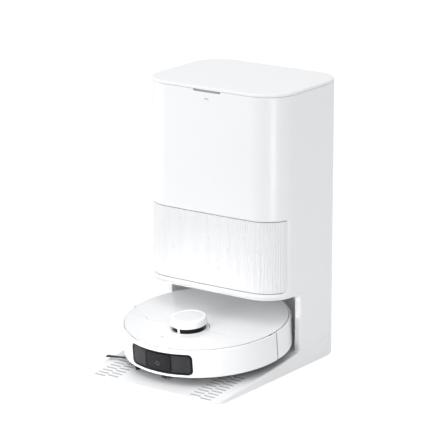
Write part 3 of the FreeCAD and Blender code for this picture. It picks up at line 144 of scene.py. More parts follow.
def area_light(name, place, target, size, watts):
    """Round lamp of `size` metres across, turned towards the target."""
    data = bpy.data.lights.new(name, "AREA")
    data.shape = "DISK"
    data.size = size
    data.energy = watts
    lamp = bpy.data.objects.new(name, data)
    lamp.location = place
    lamp.rotation_euler = (Vector(target) - Vector(place)).to_track_quat("-Z", "Y").to_euler()
    bpy.context.scene.collection.objects.link(lamp)
    return lamp


def camera_sees(nodes, links, shown, other):
    """Mix of two shaders: `shown` for the camera's own rays, `other` for light that bounces."""
    path = nodes.new("ShaderNodeLightPath")
    mix = nodes.new("ShaderNodeMixShader")
    links.new(path.outputs["Is Camera Ray"], mix.inputs["Fac"])
    links.new(other, mix.inputs[1])
    links.new(shown, mix.inputs[2])
    return mix.outputs[0]


def build_surround():
    """White backdrop whose light is strongest from above and the front and weakest from behind."""
    world = bpy.data.worlds.new("studio")
    world.use_nodes = True
    nodes, links = world.node_tree.nodes, world.node_tree.links
    surround = nodes["Background"]
    surround.inputs["Color"].default_value = (0.975, 0.98, 0.99, 1)
    place = nodes.new("ShaderNodeTexCoord")
    towards = nodes.new("ShaderNodeVectorMath")
    towards.operation = "DOT_PRODUCT"
    towards.inputs[1].default_value = Vector((-0.15, -0.45, 0.85)).normalized()
    links.new(place.outputs["Generated"], towards.inputs[0])
    level = nodes.new("ShaderNodeMapRange")
    level.inputs["From Min"].default_value = -0.6
    level.inputs["From Max"].default_value = 0.8
    level.inputs["To Min"].default_value = 0.46
    level.inputs["To Max"].default_value = 0.84
    links.new(towards.outputs["Value"], level.inputs["Value"])
    links.new(level.outputs["Result"], surround.inputs["Strength"])
    backdrop = nodes.new("ShaderNodeBackground")
    backdrop.inputs["Color"].default_value = (1, 1, 1, 1)
    backdrop.inputs["Strength"].default_value = 1.1
    shown = camera_sees(nodes, links, backdrop.outputs[0], surround.outputs[0])
    links.new(shown, nodes["World Output"].inputs["Surface"])
    bpy.context.scene.world = world


def build_floor():
    """Pale floor that the camera sees as plain white."""
    mesh = bpy.data.meshes.new("floor")
    span = 40
    corners = [(-span, -span, 0), (span, -span, 0), (span, span, 0), (-span, span, 0)]
    mesh.from_pydata(corners, [], [(0, 1, 2, 3)])
    floor = bpy.data.objects.new("floor", mesh)
    bpy.context.scene.collection.objects.link(floor)
    paint = bpy.data.materials.new("pale_floor")
    paint.use_nodes = True
    nodes, links = paint.node_tree.nodes, paint.node_tree.links
    bsdf = nodes["Principled BSDF"]
    bsdf.inputs["Base Color"].default_value = (0.88, 0.885, 0.89, 1)
    bsdf.inputs["Roughness"].default_value = 0.9
    bsdf.inputs["Emission Color"].default_value = (1, 1, 1, 1)
    bsdf.inputs["Emission Strength"].default_value = 0.12
    white = nodes.new("ShaderNodeEmission")
    white.inputs["Strength"].default_value = 1.05
    shown = camera_sees(nodes, links, white.outputs[0], bsdf.outputs[0])
    links.new(shown, nodes["Material Output"].inputs["Surface"])
    mesh.materials.append(paint)


def build_studio():
    """Seamless white studio: pale floor, even surround and large soft lamps."""
    bpy.context.scene.view_settings.view_transform = "Standard"
    build_surround()
    build_floor()
    area_light("top", (-0.15, -0.75, 3.0), (0, 0, 0.2), 2.2, 26)
    area_light("bay_fill", (-1.6, -0.7, 0.3), (0.1, 0.05, 0.12), 0.8, 5)
    beam = area_light("low_beam", (-0.3, -2.0, 0.3), (0, -0.1, 0.06), 0.25, 0.18)
    beam.data.spread = math.radians(14)
    strip = area_light("corner_strip", (1.2, -0.75, 0.16), (0.15, 0, 0.3), 0.36, 3.5)
    strip.visible_diffuse = False
    strip.visible_camera = False


# ---------------------------------------------------------------- materials

class Finish:
    """Principled material with helpers for fine procedural detail in object coordinates."""

    def __init__(self, name, color, rough, **sockets):
        self.material = bpy.data.materials.new(name)
        self.material.use_nodes = True
        self.nodes = self.material.node_tree.nodes
        self.links = self.material.node_tree.links
        self.bsdf = self.nodes["Principled BSDF"]
        self.color = color
        self.rough = rough
        self.bsdf.inputs["Base Color"].default_value = (*color, 1)
        self.bsdf.inputs["Roughness"].default_value = rough
        for socket, value in sockets.items():
            self.bsdf.inputs[socket.replace("_", " ")].default_value = value
        self.place = self.nodes.new("ShaderNodeTexCoord")
        self.bump_out = None

    def noise(self, scale, detail=2.0, stretch=(1, 1, 1)):
        """Noise with `scale` features per metre, optionally stretched along an axis."""
        mapping = self.nodes.new("ShaderNodeMapping")
        mapping.inputs["Scale"].default_value = stretch
        self.links.new(self.place.outputs["Object"], mapping.inputs["Vector"])
        noise = self.nodes.new("ShaderNodeTexNoise")
        noise.inputs["Scale"].default_value = scale
        noise.inputs["Detail"].default_value = detail
        self.links.new(mapping.outputs["Vector"], noise.inputs["Vector"])
        return noise.outputs["Fac"]

    def remap(self, value, low, high):
        node = self.nodes.new("ShaderNodeMapRange")
        node.inputs["From Min"].default_value = 0.3
        node.inputs["From Max"].default_value = 0.7
        node.inputs["To Min"].default_value = low
        node.inputs["To Max"].default_value = high
        self.links.new(value, node.inputs["Value"])
        return node.outputs["Result"]

    def mottle(self, scale, amount):
        """Faint drift of colour, `amount` as a share of the base colour."""
        ramp = self.nodes.new("ShaderNodeValToRGB")
        ramp.color_ramp.elements[0].position = 0.3
        ramp.color_ramp.elements[1].position = 0.7
        for element, share in zip(ramp.color_ramp.elements, (1 - amount, 1 + amount)):
            element.color = (*[min(1, channel * share) for channel in self.color], 1)
        self.links.new(self.noise(scale), ramp.inputs["Fac"])
        self.links.new(ramp.outputs["Color"], self.bsdf.inputs["Base Color"])
        return self

    def polish(self, scale, spread):
        """Roughness that wanders by `spread` each way."""
        value = self.remap(self.noise(scale, 3), self.rough - spread, self.rough + spread)
        self.links.new(value, self.bsdf.inputs["Roughness"])
        return self

    def height(self, value, distance):
        """Add a bump layer on top of those already there."""
        bump = self.nodes.new("ShaderNodeBump")
        bump.inputs["Distance"].default_value = distance
        self.links.new(value, bump.inputs["Height"])
        if self.bump_out is not None:
            self.links.new(self.bump_out, bump.inputs["Normal"])
        self.bump_out = bump.outputs["Normal"]
        self.links.new(self.bump_out, self.bsdf.inputs["Normal"])
        return self

    def grain(self, scale, distance):
        return self.height(self.noise(scale, 1), distance)

    def weave(self, pitch, distance):
        """Two crossed thread waves."""
        for axis in ("X", "Y"):
            wave = self.nodes.new("ShaderNodeTexWave")
            wave.bands_direction = axis
            wave.inputs["Scale"].default_value = 1 / (pitch * TAU) * math.pi
            wave.inputs["Distortion"].default_value = 1.2
            wave.inputs["Detail"].default_value = 1.0
            self.links.new(self.place.outputs["Object"], wave.inputs["Vector"])
            self.height(wave.outputs["Fac"], distance)
        return self


def white_plastic(name, tone, rough, coat=0.0):
    finish = Finish(name, tone, rough, Coat_Weight=coat, Coat_Roughness=0.06, IOR=1.5)
    return finish.mottle(9, 0.006).polish(60, 0.03).grain(2600, 0.000012)


def build_finishes():
    """One finish for each material slot of the record."""
    made = {
        "white_shell": white_plastic("white_shell", (0.9, 0.902, 0.91), 0.32),
        "white_lid": white_plastic("white_lid", (0.9, 0.902, 0.91), 0.4),
        "white_fluted": white_plastic("white_fluted", (0.84, 0.842, 0.85), 0.3),
        "white_robot": white_plastic("white_robot", (0.9, 0.902, 0.91), 0.18, coat=0.5),
        "icon_grey": white_plastic("icon_grey", (0.88, 0.882, 0.89), 0.3),
    }
    made["grey_bay"] = Finish("grey_bay", (0.92, 0.922, 0.93), 0.45).mottle(14, 0.02).polish(90, 0.05)
    made["grey_bay"].grain(1400, 0.00004)
    # grey_tread: the bars' grey is partly their own rubber tone and partly painted shade along them.
    made["grey_tread"] = Finish("grey_tread", (0.46, 0.46, 0.47), 0.7).mottle(60, 0.05).grain(2400, 0.00005)
    made["dark_plastic"] = Finish("dark_plastic", (0.035, 0.035, 0.038), 0.45).mottle(40, 0.15)
    made["dark_plastic"].polish(120, 0.08).grain(1600, 0.00004)
    made["smoked_window"] = Finish("smoked_window", (0.004, 0.004, 0.005), 0.12, Specular_IOR_Level=0.16)
    made["smoked_window"].mottle(30, 0.2).polish(25, 0.02)
    made["lens_glass"] = Finish("lens_glass", (0.006, 0.008, 0.012), 0.06, Specular_IOR_Level=0.3)
    made["lens_glass"].mottle(500, 0.3)
    made["clear_tank"] = Finish("clear_tank", (0.62, 0.7, 0.76), 0.12, Transmission_Weight=0.75, IOR=1.45)
    made["clear_tank"].mottle(12, 0.03).polish(50, 0.04)
    made["grey_tank"] = Finish("grey_tank", (0.3, 0.31, 0.33), 0.16, Transmission_Weight=0.6, IOR=1.45)
    made["grey_tank"].mottle(12, 0.05).polish(50, 0.04)
    made["metal_contact"] = Finish("metal_contact", (0.78, 0.74, 0.64), 0.24, Metallic=1.0)
    made["metal_contact"].mottle(300, 0.06).height(made["metal_contact"].noise(900, 1, (1, 1, 12)), 0.00001)
    made["black_rubber"] = Finish("black_rubber", (0.022, 0.022, 0.024), 0.62).mottle(80, 0.2)
    made["black_rubber"].grain(1500, 0.00006)
    made["brush_blue"] = Finish("brush_blue", (0.075, 0.08, 0.095), 0.6).mottle(120, 0.25)
    made["brush_blue"].height(made["brush_blue"].noise(2200, 2, (0.2, 1, 1)), 0.0001)
    cloth = {"Sheen_Weight": 0.5, "Sheen_Roughness": 0.5}
    made["mop_fabric"] = Finish("mop_fabric", (0.36, 0.38, 0.42), 0.95, **cloth)
    made["mop_fabric"].mottle(220, 0.18).weave(0.0016, 0.0003).grain(900, 0.0004)
    made["bag_fleece"] = Finish("bag_fleece", (0.82, 0.81, 0.77), 0.9, Sheen_Weight=0.3)
    made["bag_fleece"].mottle(150, 0.04).grain(500, 0.00035).grain(3000, 0.00008)
    made["battery_wrap"] = Finish("battery_wrap", (0.06, 0.13, 0.3), 0.3, Coat_Weight=0.4).mottle(40, 0.1)
    made["battery_wrap"].height(made["battery_wrap"].noise(120, 1, (1, 1, 0.2)), 0.0003)
    made["board_green"] = Finish("board_green", (0.02, 0.12, 0.06), 0.35, Coat_Weight=0.3).mottle(400, 0.3)
    made["board_green"].grain(1200, 0.00003)
    made["led_white"] = Finish("led_white", (0.32, 0.33, 0.35), 0.3).mottle(200, 0.03)
    made["icon_mark"] = Finish("icon_mark", (0.42, 0.42, 0.43), 0.5).mottle(300, 0.06)
    # pocket_shade_grey: mid grey for the finger pocket, painted shade inside the notch.
    made["pocket_shade_grey"] = Finish("pocket_shade_grey", (0.42, 0.42, 0.43), 0.6).mottle(80, 0.04).grain(1500, 0.00003)
    made["lens_trim"] = Finish("lens_trim", (0.14, 0.14, 0.15), 0.3, Metallic=0.6).mottle(300, 0.1)
    made["camera_black"] = Finish("camera_black", (0.011, 0.011, 0.012), 0.2, Specular_IOR_Level=0.25)
    made["camera_black"].mottle(60, 0.15)
    made["smoke_grey"] = Finish("smoke_grey", (0.028, 0.028, 0.03), 0.22, Specular_IOR_Level=0.25)
    made["smoke_grey"].mottle(40, 0.15).polish(60, 0.05)
    # disc_reflection_grey: greyer white for the turret's top disc, a painted reflection of the tower's grey
    # underside on the glossy cap.
    made["disc_reflection_grey"] = white_plastic("disc_reflection_grey", (0.76, 0.762, 0.77), 0.2)
    return {name: finish.material for name, finish in made.items()}


FINISH = build_finishes()


def paint_cad_nodes():
    """Every CAD node that stays in view gets its slot's procedural finish."""
    for part in frame["record"]["subparts"]:
        node = frame["nodes"][part["node"]]
        for index in range(len(node.material_slots)):
            node.material_slots[index].material = FINISH[part["material_slot"]]


# ---------------------------------------------------------------- mesh helpers

def arc(x, y, r, start, end, steps=8):
    """Points of an arc, angles in degrees."""
    turns = [math.radians(start + (end - start) * i / steps) for i in range(steps + 1)]
    return [Vector((x + r * math.cos(t), y + r * math.sin(t))) for t in turns]


def rounded_loop(x0, x1, y0, y1, radii, steps=8):
    """Counter-clockwise rectangle; radii for the low-left, low-right, high-right and high-left corner."""
    a, b, c, d = radii
    points = arc(x0 + a, y0 + a, a, 180, 270, steps) + arc(x1 - b, y0 + b, b, 270, 360, steps)
    return points + arc(x1 - c, y1 - c, c, 0, 90, steps) + arc(x0 + d, y1 - d, d, 90, 180, steps)


def tidy(loop):
    """Drop points that repeat their neighbour."""
    kept = [p for i, p in enumerate(loop) if (p - loop[i - 1]).length > 1e-6]
    return kept


def inset(loop, distance):
    """Loop moved to its left by distance, with mitred corners."""
    moved = []
    for i, point in enumerate(loop):
        before = (point - loop[i - 1]).normalized()
        after = (loop[(i + 1) % len(loop)] - point).normalized()
        normal = Vector((-before.y - after.y, before.x + after.x))
        normal.normalize()
        cosine = max(0.4, normal.dot(Vector((-before.y, before.x))))
        moved.append(point + normal * (distance / cosine))
    return moved


def round_profile(low, high, low_edge, high_edge, steps=4):
    """(inset, height) pairs down one side of a slab whose two edges are rounded."""
    profile = []
    for i in range(steps + 1):
        t = math.pi / 2 * i / steps
        profile.append((low_edge * (1 - math.sin(t)), low + low_edge * (1 - math.cos(t))))
    for i in range(steps + 1):
        t = math.pi / 2 * i / steps
        profile.append((high_edge * (1 - math.cos(t)), high - high_edge * (1 - math.sin(t))))
    return profile


def slab(outer, holes, low, high, low_edge, high_edge, steps=4, collar=()):
    """Flat slab with rounded edges all round its outline and holes; outline counter-clockwise.

    The collar adds rings of faces on the high side of the first hole, at these distances from it.
    """
    bm = bmesh.new()
    loops = [tidy(outer)] + [tidy(list(reversed(hole))) for hole in holes]
    first, last = [], []
    for number, loop in enumerate(loops):
        profile = round_profile(low, high, low_edge, high_edge, steps)
        if number == 1:
            profile = [(distance, low) for distance in reversed(collar)] + profile
            profile += [(distance, high) for distance in collar]
        rows = []
        for shrink, height in profile:
            rows.append([bm.verts.new((p.x, p.y, height)) for p in inset(loop, shrink)])
        for a, b in zip(rows, rows[1:]):
            for i in range(len(loop)):
                j = (i + 1) % len(loop)
                bm.faces.new((a[i], a[j], b[j], b[i]))
        first.append(rows[0])
        last.append(rows[-1])
    for rows, flip in ((first, True), (last, False)):
        flat = [v for row in rows for v in row]
        for tri in tessellate_polygon([[v.co.copy() for v in row] for row in rows]):
            corner = [flat[i] for i in tri]
            face = bm.faces.new(corner)
            face.normal_update()
            if (face.normal.z > 0) == flip:
                face.normal_flip()
    return bm


def slices(bm, axis, values):
    """Cut the mesh across an axis at each value, so that it can bend there."""
    normal = Vector((1, 0, 0)) if axis == "u" else Vector((0, 1, 0))
    for value in values:
        geometry = bm.verts[:] + bm.edges[:] + bm.faces[:]
        bmesh.ops.bisect_plane(bm, geom=geometry, plane_co=normal * value, plane_no=normal, dist=1e-6)


def clean_strips(bm):
    """Between upright cuts, keep only the outline: the slanting edges inside each flat strip go."""
    bm.normal_update()
    spare = []
    for edge in bm.edges:
        a, b = edge.verts
        if len(edge.link_faces) != 2 or abs(a.co.x - b.co.x) < 1e-6 or abs(a.co.z - b.co.z) > 1e-7:
            continue
        if all(abs(face.normal.z) > 0.9999 for face in edge.link_faces):
            spare.append(edge)
    bmesh.ops.dissolve_edges(bm, edges=spare, use_verts=True, use_face_split=False)


def spread(low, high, step):
    """Evenly spaced values from low to high, no further apart than step."""
    count = max(1, math.ceil((high - low) / step - 1e-9))
    return [low + (high - low) * i / count for i in range(count + 1)]


def lathe(profile, start=0, end=360, steps=96):
    """Closed (radius, height) profile turned about Z; angles in degrees from the nose towards +X."""
    bm = bmesh.new()
    whole = abs(end - start) >= 360
    rows = []
    for i in range(steps if whole else steps + 1):
        turn = math.radians(start + (end - start) * i / steps)
        rows.append([bm.verts.new((r * math.sin(turn), -r * math.cos(turn), z)) for r, z in profile])
    for i in range(steps):
        a, b = rows[i], rows[(i + 1) % len(rows)]
        for k in range(len(profile)):
            m = (k + 1) % len(profile)
            if max(profile[k][0], profile[m][0]) > 1e-7:
                bm.faces.new((a[k], b[k], b[m], a[m]))
    if not whole:
        bm.faces.new(rows[0])
        bm.faces.new(list(reversed(rows[-1])))
    bmesh.ops.remove_doubles(bm, verts=bm.verts, dist=1e-7)
    return bm


def rounded_ring(inner, outer, low, high, edge, steps=4):
    """Closed profile of a ring with rounded edges, for lathe()."""
    return [(p.x, p.y) for p in rounded_loop(inner, outer, low, high, (edge,) * 4, steps)]


def capped(radius, low, high, low_edge, high_edge, steps=5):
    """Closed profile of a disc with rounded rims, for lathe()."""
    side = [(radius - shrink, z) for shrink, z in round_profile(low, high, low_edge, high_edge, steps)]
    return [(0, low)] + side + [(0, high)]


def stack(rings, cap=True):
    """Skin over rings that have the same number of points."""
    bm = bmesh.new()
    rows = [[bm.verts.new(p) for p in ring] for ring in rings]
    for a, b in zip(rows, rows[1:]):
        for i in range(len(a)):
            j = (i + 1) % len(a)
            bm.faces.new((a[i], a[j], b[j], b[i]))
    if cap:
        bm.faces.new(list(reversed(rows[0])))
        bm.faces.new(rows[-1])
    return bm


def tube(points, radius, sides=10, closed=False):
    """Round rod along a line of points."""
    bm = bmesh.new()
    count = len(points)
    rows = []
    for i, point in enumerate(points):
        ahead = points[(i + 1) % count] if closed or i + 1 < count else point
        behind = points[i - 1] if closed or i else point
        along = (Vector(ahead) - Vector(behind)).normalized()
        side = side - along * side.dot(along) if rows else along.orthogonal()
        side.normalize()
        other = along.cross(side)
        ring = []
        for k in range(sides):
            turn = TAU * k / sides
            out = side * math.cos(turn) + other * math.sin(turn)
            ring.append(bm.verts.new(Vector(point) + out * radius))
        rows.append(ring)
    pairs = list(zip(rows, rows[1:])) + ([(rows[-1], rows[0])] if closed else [])
    for a, b in pairs:
        for k in range(sides):
            m = (k + 1) % sides
            bm.faces.new((a[k], a[m], b[m], b[k]))
    if not closed:
        bm.faces.new(list(reversed(rows[0])))
        bm.faces.new(rows[-1])
    return bm


def merge(parts):
    """One mesh from several; the parts are used up."""
    whole = bmesh.new()
    for part in parts:
        mesh = bpy.data.meshes.new("part")
        part.to_mesh(mesh)
        part.free()
        whole.from_mesh(mesh)
        bpy.data.meshes.remove(mesh)
    return whole


def turned(bm, matrix):
    bmesh.ops.transform(bm, matrix=matrix, verts=bm.verts)
    return bm


def shifted(bm, x=0, y=0, z=0):
    return turned(bm, Matrix.Translation((x, y, z)))


def piece(bm, name, body, slot, replaces=(), place=None, finish=None, sharp=38):
    """Finish a mesh as a piece that rides on a CAD body and stands for CAD nodes."""
    bmesh.ops.recalc_face_normals(bm, faces=bm.faces)
    mesh = bpy.data.meshes.new(name)
    bm.to_mesh(mesh)
    bm.free()
    if place is not None:
        mesh.transform(place)
    for polygon in mesh.polygons:
        polygon.use_smooth = True
    mesh.set_sharp_from_angle(angle=math.radians(sharp))
    mesh.materials.append(FINISH[finish or slot])
    made = bpy.data.objects.new(name, mesh)
    bpy.context.scene.collection.objects.link(made)
    even = made.modifiers.new("even_normals", "WEIGHTED_NORMAL")
    even.keep_sharp = True
    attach(made, body)
    if replaces:
        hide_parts(*replaces)
    return made


def robot_piece(bm, name, body, slot, replaces=(), **more):
    return piece(bm, name, body, slot, replaces, place=ROBOT, **more)


def softened(node, body, edge, steps=3, limit=30):
    """CAD node redrawn with every sharp edge rounded."""
    source = frame["nodes"][node]
    bm = bmesh.new()
    bm.from_mesh(source.data)
    bmesh.ops.remove_doubles(bm, verts=bm.verts, dist=2e-6)
    bmesh.ops.dissolve_limit(bm, angle_limit=math.radians(1), verts=bm.verts, edges=bm.edges)
    sharp = [e for e in bm.edges if len(e.link_faces) == 2 and e.calc_face_angle(0) > math.radians(limit)]
    bmesh.ops.bevel(bm, geom=sharp, offset=edge, segments=steps, profile=0.5, affect="EDGES",
                    clamp_overlap=True)
    slot = [p["material_slot"] for p in frame["record"]["subparts"] if p["node"] == node][0]
    return piece(bm, node + "_soft", body, slot, [node])


# ---------------------------------------------------------------- outlines that pieces wrap round

class Path:
    """Half outline of arcs and lines from the front centre, mirrored to the other side."""

    def __init__(self, *parts):
        self.parts = parts
        self.length = sum(part[0] for part in parts)

    def at(self, u):
        """Point and outward normal at distance u; negative u runs to the left."""
        side = -1 if u < 0 else 1
        rest = min(abs(u), self.length)
        for length, place in self.parts:
            if rest <= length + 1e-9:
                break
            rest -= length
        point, normal = place(rest)
        return Vector((side * point[0], point[1])), Vector((side * normal[0], normal[1]))


def line_part(x0, y0, x1, y1):
    length = math.hypot(x1 - x0, y1 - y0)
    dx, dy = (x1 - x0) / length, (y1 - y0) / length
    return length, lambda s: ((x0 + dx * s, y0 + dy * s), (dy, -dx))


def arc_part(x, y, r, start, end):
    """Arc about (x, y), its angle counted from -Y towards +X, in radians."""

    def place(s):
        turn = start + s / r
        return (x + r * math.sin(turn), y - r * math.cos(turn)), (math.sin(turn), -math.cos(turn))

    return r * (end - start), place


BOW_Y = FRONT + BOW
CORNER_X = HALF - CORNER
CORNER_Y = BOW_Y - math.sqrt((BOW - CORNER) ** 2 - CORNER_X ** 2)
BOW_TURN = math.atan2(CORNER_X, BOW_Y - CORNER_Y)
TOWER = Path(
    arc_part(0, BOW_Y, BOW, 0, BOW_TURN),
    arc_part(CORNER_X, CORNER_Y, CORNER, BOW_TURN, math.pi / 2),
    line_part(HALF, CORNER_Y, HALF, BACK - CORNER),
    arc_part(HALF - CORNER, BACK - CORNER, CORNER, math.pi / 2, math.pi),
    line_part(HALF - CORNER, BACK, 0, BACK),
)
BOW_END = TOWER.parts[0][0]
SIDE_START = BOW_END + TOWER.parts[1][0]
SIDE_END = SIDE_START + TOWER.parts[2][0]
BACK_START = SIDE_END + TOWER.parts[3][0]
ROUND = Path(arc_part(0, 0, DISC, 0, math.pi))


def wrap(bm, path, lift=None):
    """Bend a flat slab: x runs along the path, y becomes height, z points outwards."""
    for vertex in bm.verts:
        u, v, w = vertex.co
        if lift:
            w += lift(u, v, w)
        point, normal = path.at(u)
        vertex.co = (point.x + normal.x * w, point.y + normal.y * w, v)
    return bm


def side_u(y):
    """Distance along the tower's outline of a point on its side wall at depth y."""
    return SIDE_START + (y - CORNER_Y)


def tower_bends():
    """Where a wall wrapped round the tower has to be able to bend."""
    half = spread(0, BOW_END, 35 * MM) + spread(BOW_END, SIDE_START, 4 * MM)
    half += [side_u(y) for y in spread(CORNER_Y, BACK - CORNER, 40 * MM)]
    half += spread(SIDE_END, BACK_START, 6 * MM)
    return sorted(set(half + [-u for u in half]))


def plan_ring(shrink, z):
    """Closed ring round the tower's plan, `shrink` inside its outside; z may depend on y."""
    half = spread(0, BOW_END, 30 * MM)[1:] + spread(BOW_END, SIDE_START, 4 * MM)[1:]
    half += [SIDE_END] + spread(SIDE_END, BACK_START, 5 * MM)[1:]
    ring = []
    for u in [0] + half + [TOWER.length] + [-u for u in reversed(half)]:
        point, normal = TOWER.at(u)
        spot = point - normal * shrink
        ring.append(Vector((spot.x, spot.y, z(spot.y) if callable(z) else z)))
    return ring


# ---------------------------------------------------------------- base station

DRAWER_TURN = math.acos((CORNER_Y - 18.5 * MM) / CORNER)
DRAWER_U = BOW_END + CORNER * (DRAWER_TURN - BOW_TURN)
DRAWER_GAP = 1.3 * MM
RIM_BAND = 9 * MM
RIM_DIP = 3.6 * MM


def rim_dip(u, v, w):
    """Soft hollow of the wall beside the drawer; it fades out over the drawer and under it."""
    low_turn, high_turn = 15 * MM, 5 * MM
    turn = low_turn if v < (DRAWER_LOW + DRAWER_HIGH) / 2 else high_turn
    centre_u = DRAWER_U - turn
    centre_v = min(max(v, DRAWER_LOW + turn), DRAWER_HIGH - turn)
    across, along = abs(u) - centre_u, v - centre_v
    reach = math.hypot(across, along)
    beside = reach - turn
    if across <= 0 or beside > RIM_BAND or beside < -1 * MM:
        return 0
    share = max(0, beside) / RIM_BAND
    return -RIM_DIP * (1 - math.sin(math.pi / 2 * share)) * (across / reach) ** 1.5


def mouth_row(out):
    """Outline of the bay's mouth, `out` beyond the opening, from the left foot over to the right."""
    edge = side_u(BAY_EDGE)
    turn = BAY_TURN + out
    foot = ramp_height(BAY_EDGE) - 2 * MM
    inner = edge - BAY_TURN
    head = BAY_CEILING - BAY_TURN
    left = [Vector((-edge - out, foot + (head - foot) * i / 6)) for i in range(6)]
    left += arc(-inner, head, turn, 180, 90, 8)
    right = [Vector((-p.x, p.y)) for p in reversed(left)]
    across = [u for u in tower_bends() if abs(u) < inner - 1 * MM]
    return left + [Vector((u, BAY_CEILING + out)) for u in across] + right


def tower_outline():
    """Wall of the tower laid flat: its outside edge, past the middle of the back at both ends."""
    end = TOWER.length + 60 * MM
    sunk = 1.5 * MM
    notch = TOWER.length - 139.7 * MM
    notch_low = BODY_TOP - 15.9 * MM
    right = []
    for u in spread(SIDE_END, BACK_START, 12 * MM):
        right.append(Vector((u, ramp_height(TOWER.at(u)[0].y) - sunk)))
    right += [Vector((end, ramp_height(BACK) - sunk)), Vector((end, notch_low))]
    right += arc(notch + 3 * MM, notch_low + 3 * MM, 3 * MM, 270, 180, 4)
    right += [Vector((notch, BODY_TOP)), Vector((FINGER_HALF, BODY_TOP))]
    right += arc(FINGER_HALF - 2 * MM, BODY_TOP - FINGER_DROP + 2 * MM, 2 * MM, 0, -90, 4)
    left = [Vector((-p.x, p.y)) for p in reversed(right)]
    return right + left + mouth_row(BAY_ROUND)


def tower_shell():
    """Outer wall with the bay's mouth, drawer opening, finger slot and back openings."""
    drawer = rounded_loop(-DRAWER_U, DRAWER_U, DRAWER_LOW, DRAWER_HIGH, (15 * MM, 15 * MM, 5 * MM, 5 * MM))
    hatch_low, hatch_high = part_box("rear_hatch")
    inlet_low, inlet_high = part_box("power_inlet")
    lip = 4 * MM
    holes = [drawer]
    for side in (-1, 1):
        middle = side * TOWER.length
        wide = hatch_high.x - lip
        upright = (hatch_low.z + lip, hatch_high.z - lip)
        holes.append(rounded_loop(middle - wide, middle + wide, *upright, (6 * MM,) * 4))
    inset_x = 2 * MM
    far = TOWER.length - inlet_low.x - inset_x
    near = TOWER.length - inlet_high.x + inset_x
    holes.append(rounded_loop(near, far, inlet_low.z + inset_x, inlet_high.z - inset_x, (2 * MM,) * 4))
    collar = [1.0 * MM + RIM_BAND * i / 6 for i in range(1, 7)]
    bm = slab(tower_outline(), holes, -SKIN, 0, 0.6 * MM, 0.8 * MM, 3, collar)
    edges = [s * (u + d) for u in (DRAWER_U, FINGER_HALF) for d in (-0.001, 0.001) for s in (-1, 1)]
    edges += [side * (TOWER.length + d) for side in (-1, 1) for d in (-far, -near)]
    slices(bm, "u", sorted(tower_bends() + edges))
    for side in (-1, 1):
        everything = bm.verts[:] + bm.edges[:] + bm.faces[:]
        end = (side * TOWER.length, 0, 0)
        bmesh.ops.bisect_plane(bm, geom=everything, plane_co=end, plane_no=(side, 0, 0), clear_outer=True,
                               dist=1e-6)
    wrap(bm, TOWER, rim_dip)
    bmesh.ops.remove_doubles(bm, verts=bm.verts, dist=1e-5)
    piece(bm, "tower_wall", "station", "white_shell", ["tower_shell"])


def bay_surround():
    """Rounded return of the wall round the bay's mouth."""
    turns = [math.pi / 2 * i / 7 for i in range(8)]
    profile = [(BAY_ROUND * (1 - math.sin(t)), -BAY_ROUND * (1 - math.cos(t))) for t in turns]
    deep = -BAY_RETURN
    profile += [(0, deep + 0.8 * MM), (0.3 * MM, deep + 0.2 * MM), (0.8 * MM, deep), (2.6 * MM, deep)]
    profile += [(2.6 * MM, -BAY_ROUND - 1 * MM), (BAY_ROUND - 0.2 * MM, -SKIN - 0.1 * MM)]
    bm = bmesh.new()
    rows = [[bm.verts.new((p.x, p.y, w)) for p in mouth_row(out)] for out, w in profile]
    for a, b in zip(rows, rows[1:] + rows[:1]):
        for i in range(len(a) - 1):
            bm.faces.new((a[i], a[i + 1], b[i + 1], b[i]))
    bm.faces.new([row[0] for row in rows])
    bm.faces.new([row[-1] for row in reversed(rows)])
    piece(wrap(bm, TOWER), "bay_surround", "station", "white_shell", sharp=60)


def finger_pocket():
    """Shallow pocket behind the notch that a fingertip uses to raise the lid; its mid grey is painted shade
    inside the notch.
    """
    outline = rounded_loop(-FINGER_HALF - 2 * MM, FINGER_HALF + 2 * MM, BODY_TOP - FINGER_DROP - 3 * MM,
                           BODY_TOP + 0.4 * MM, (1 * MM,) * 4, 3)
    bm = slab(outline, [], -SKIN - 0.7 * MM, -SKIN - 0.1 * MM, 0.1 * MM, 0.1 * MM, 2)
    slices(bm, "u", spread(-FINGER_HALF, FINGER_HALF, 17 * MM))
    piece(wrap(bm, TOWER), "finger_pocket", "station", "grey_bay", finish="pocket_shade_grey")


def drawer_gap_shade():
    """Black strip behind the joint round the drawer's cover: painted shade that makes the gap read dark."""
    def loop(grow):
        low, high = 15 * MM + grow, 5 * MM + grow
        half = DRAWER_U + grow
        return rounded_loop(-half, half, DRAWER_LOW - grow, DRAWER_HIGH + grow, (low, low, high, high))

    opening = [loop(-DRAWER_GAP + 0.35 * MM)]
    bm = slab(loop(2 * MM), opening, -5.4 * MM, -SKIN - 0.2 * MM, 0.1 * MM, 0.2 * MM, 2)
    slices(bm, "u", [u for u in tower_bends() if abs(u) < DRAWER_U])
    clean_strips(bm)
    piece(wrap(bm, TOWER, rim_dip), "drawer_gap_shade", "station", "black_rubber")


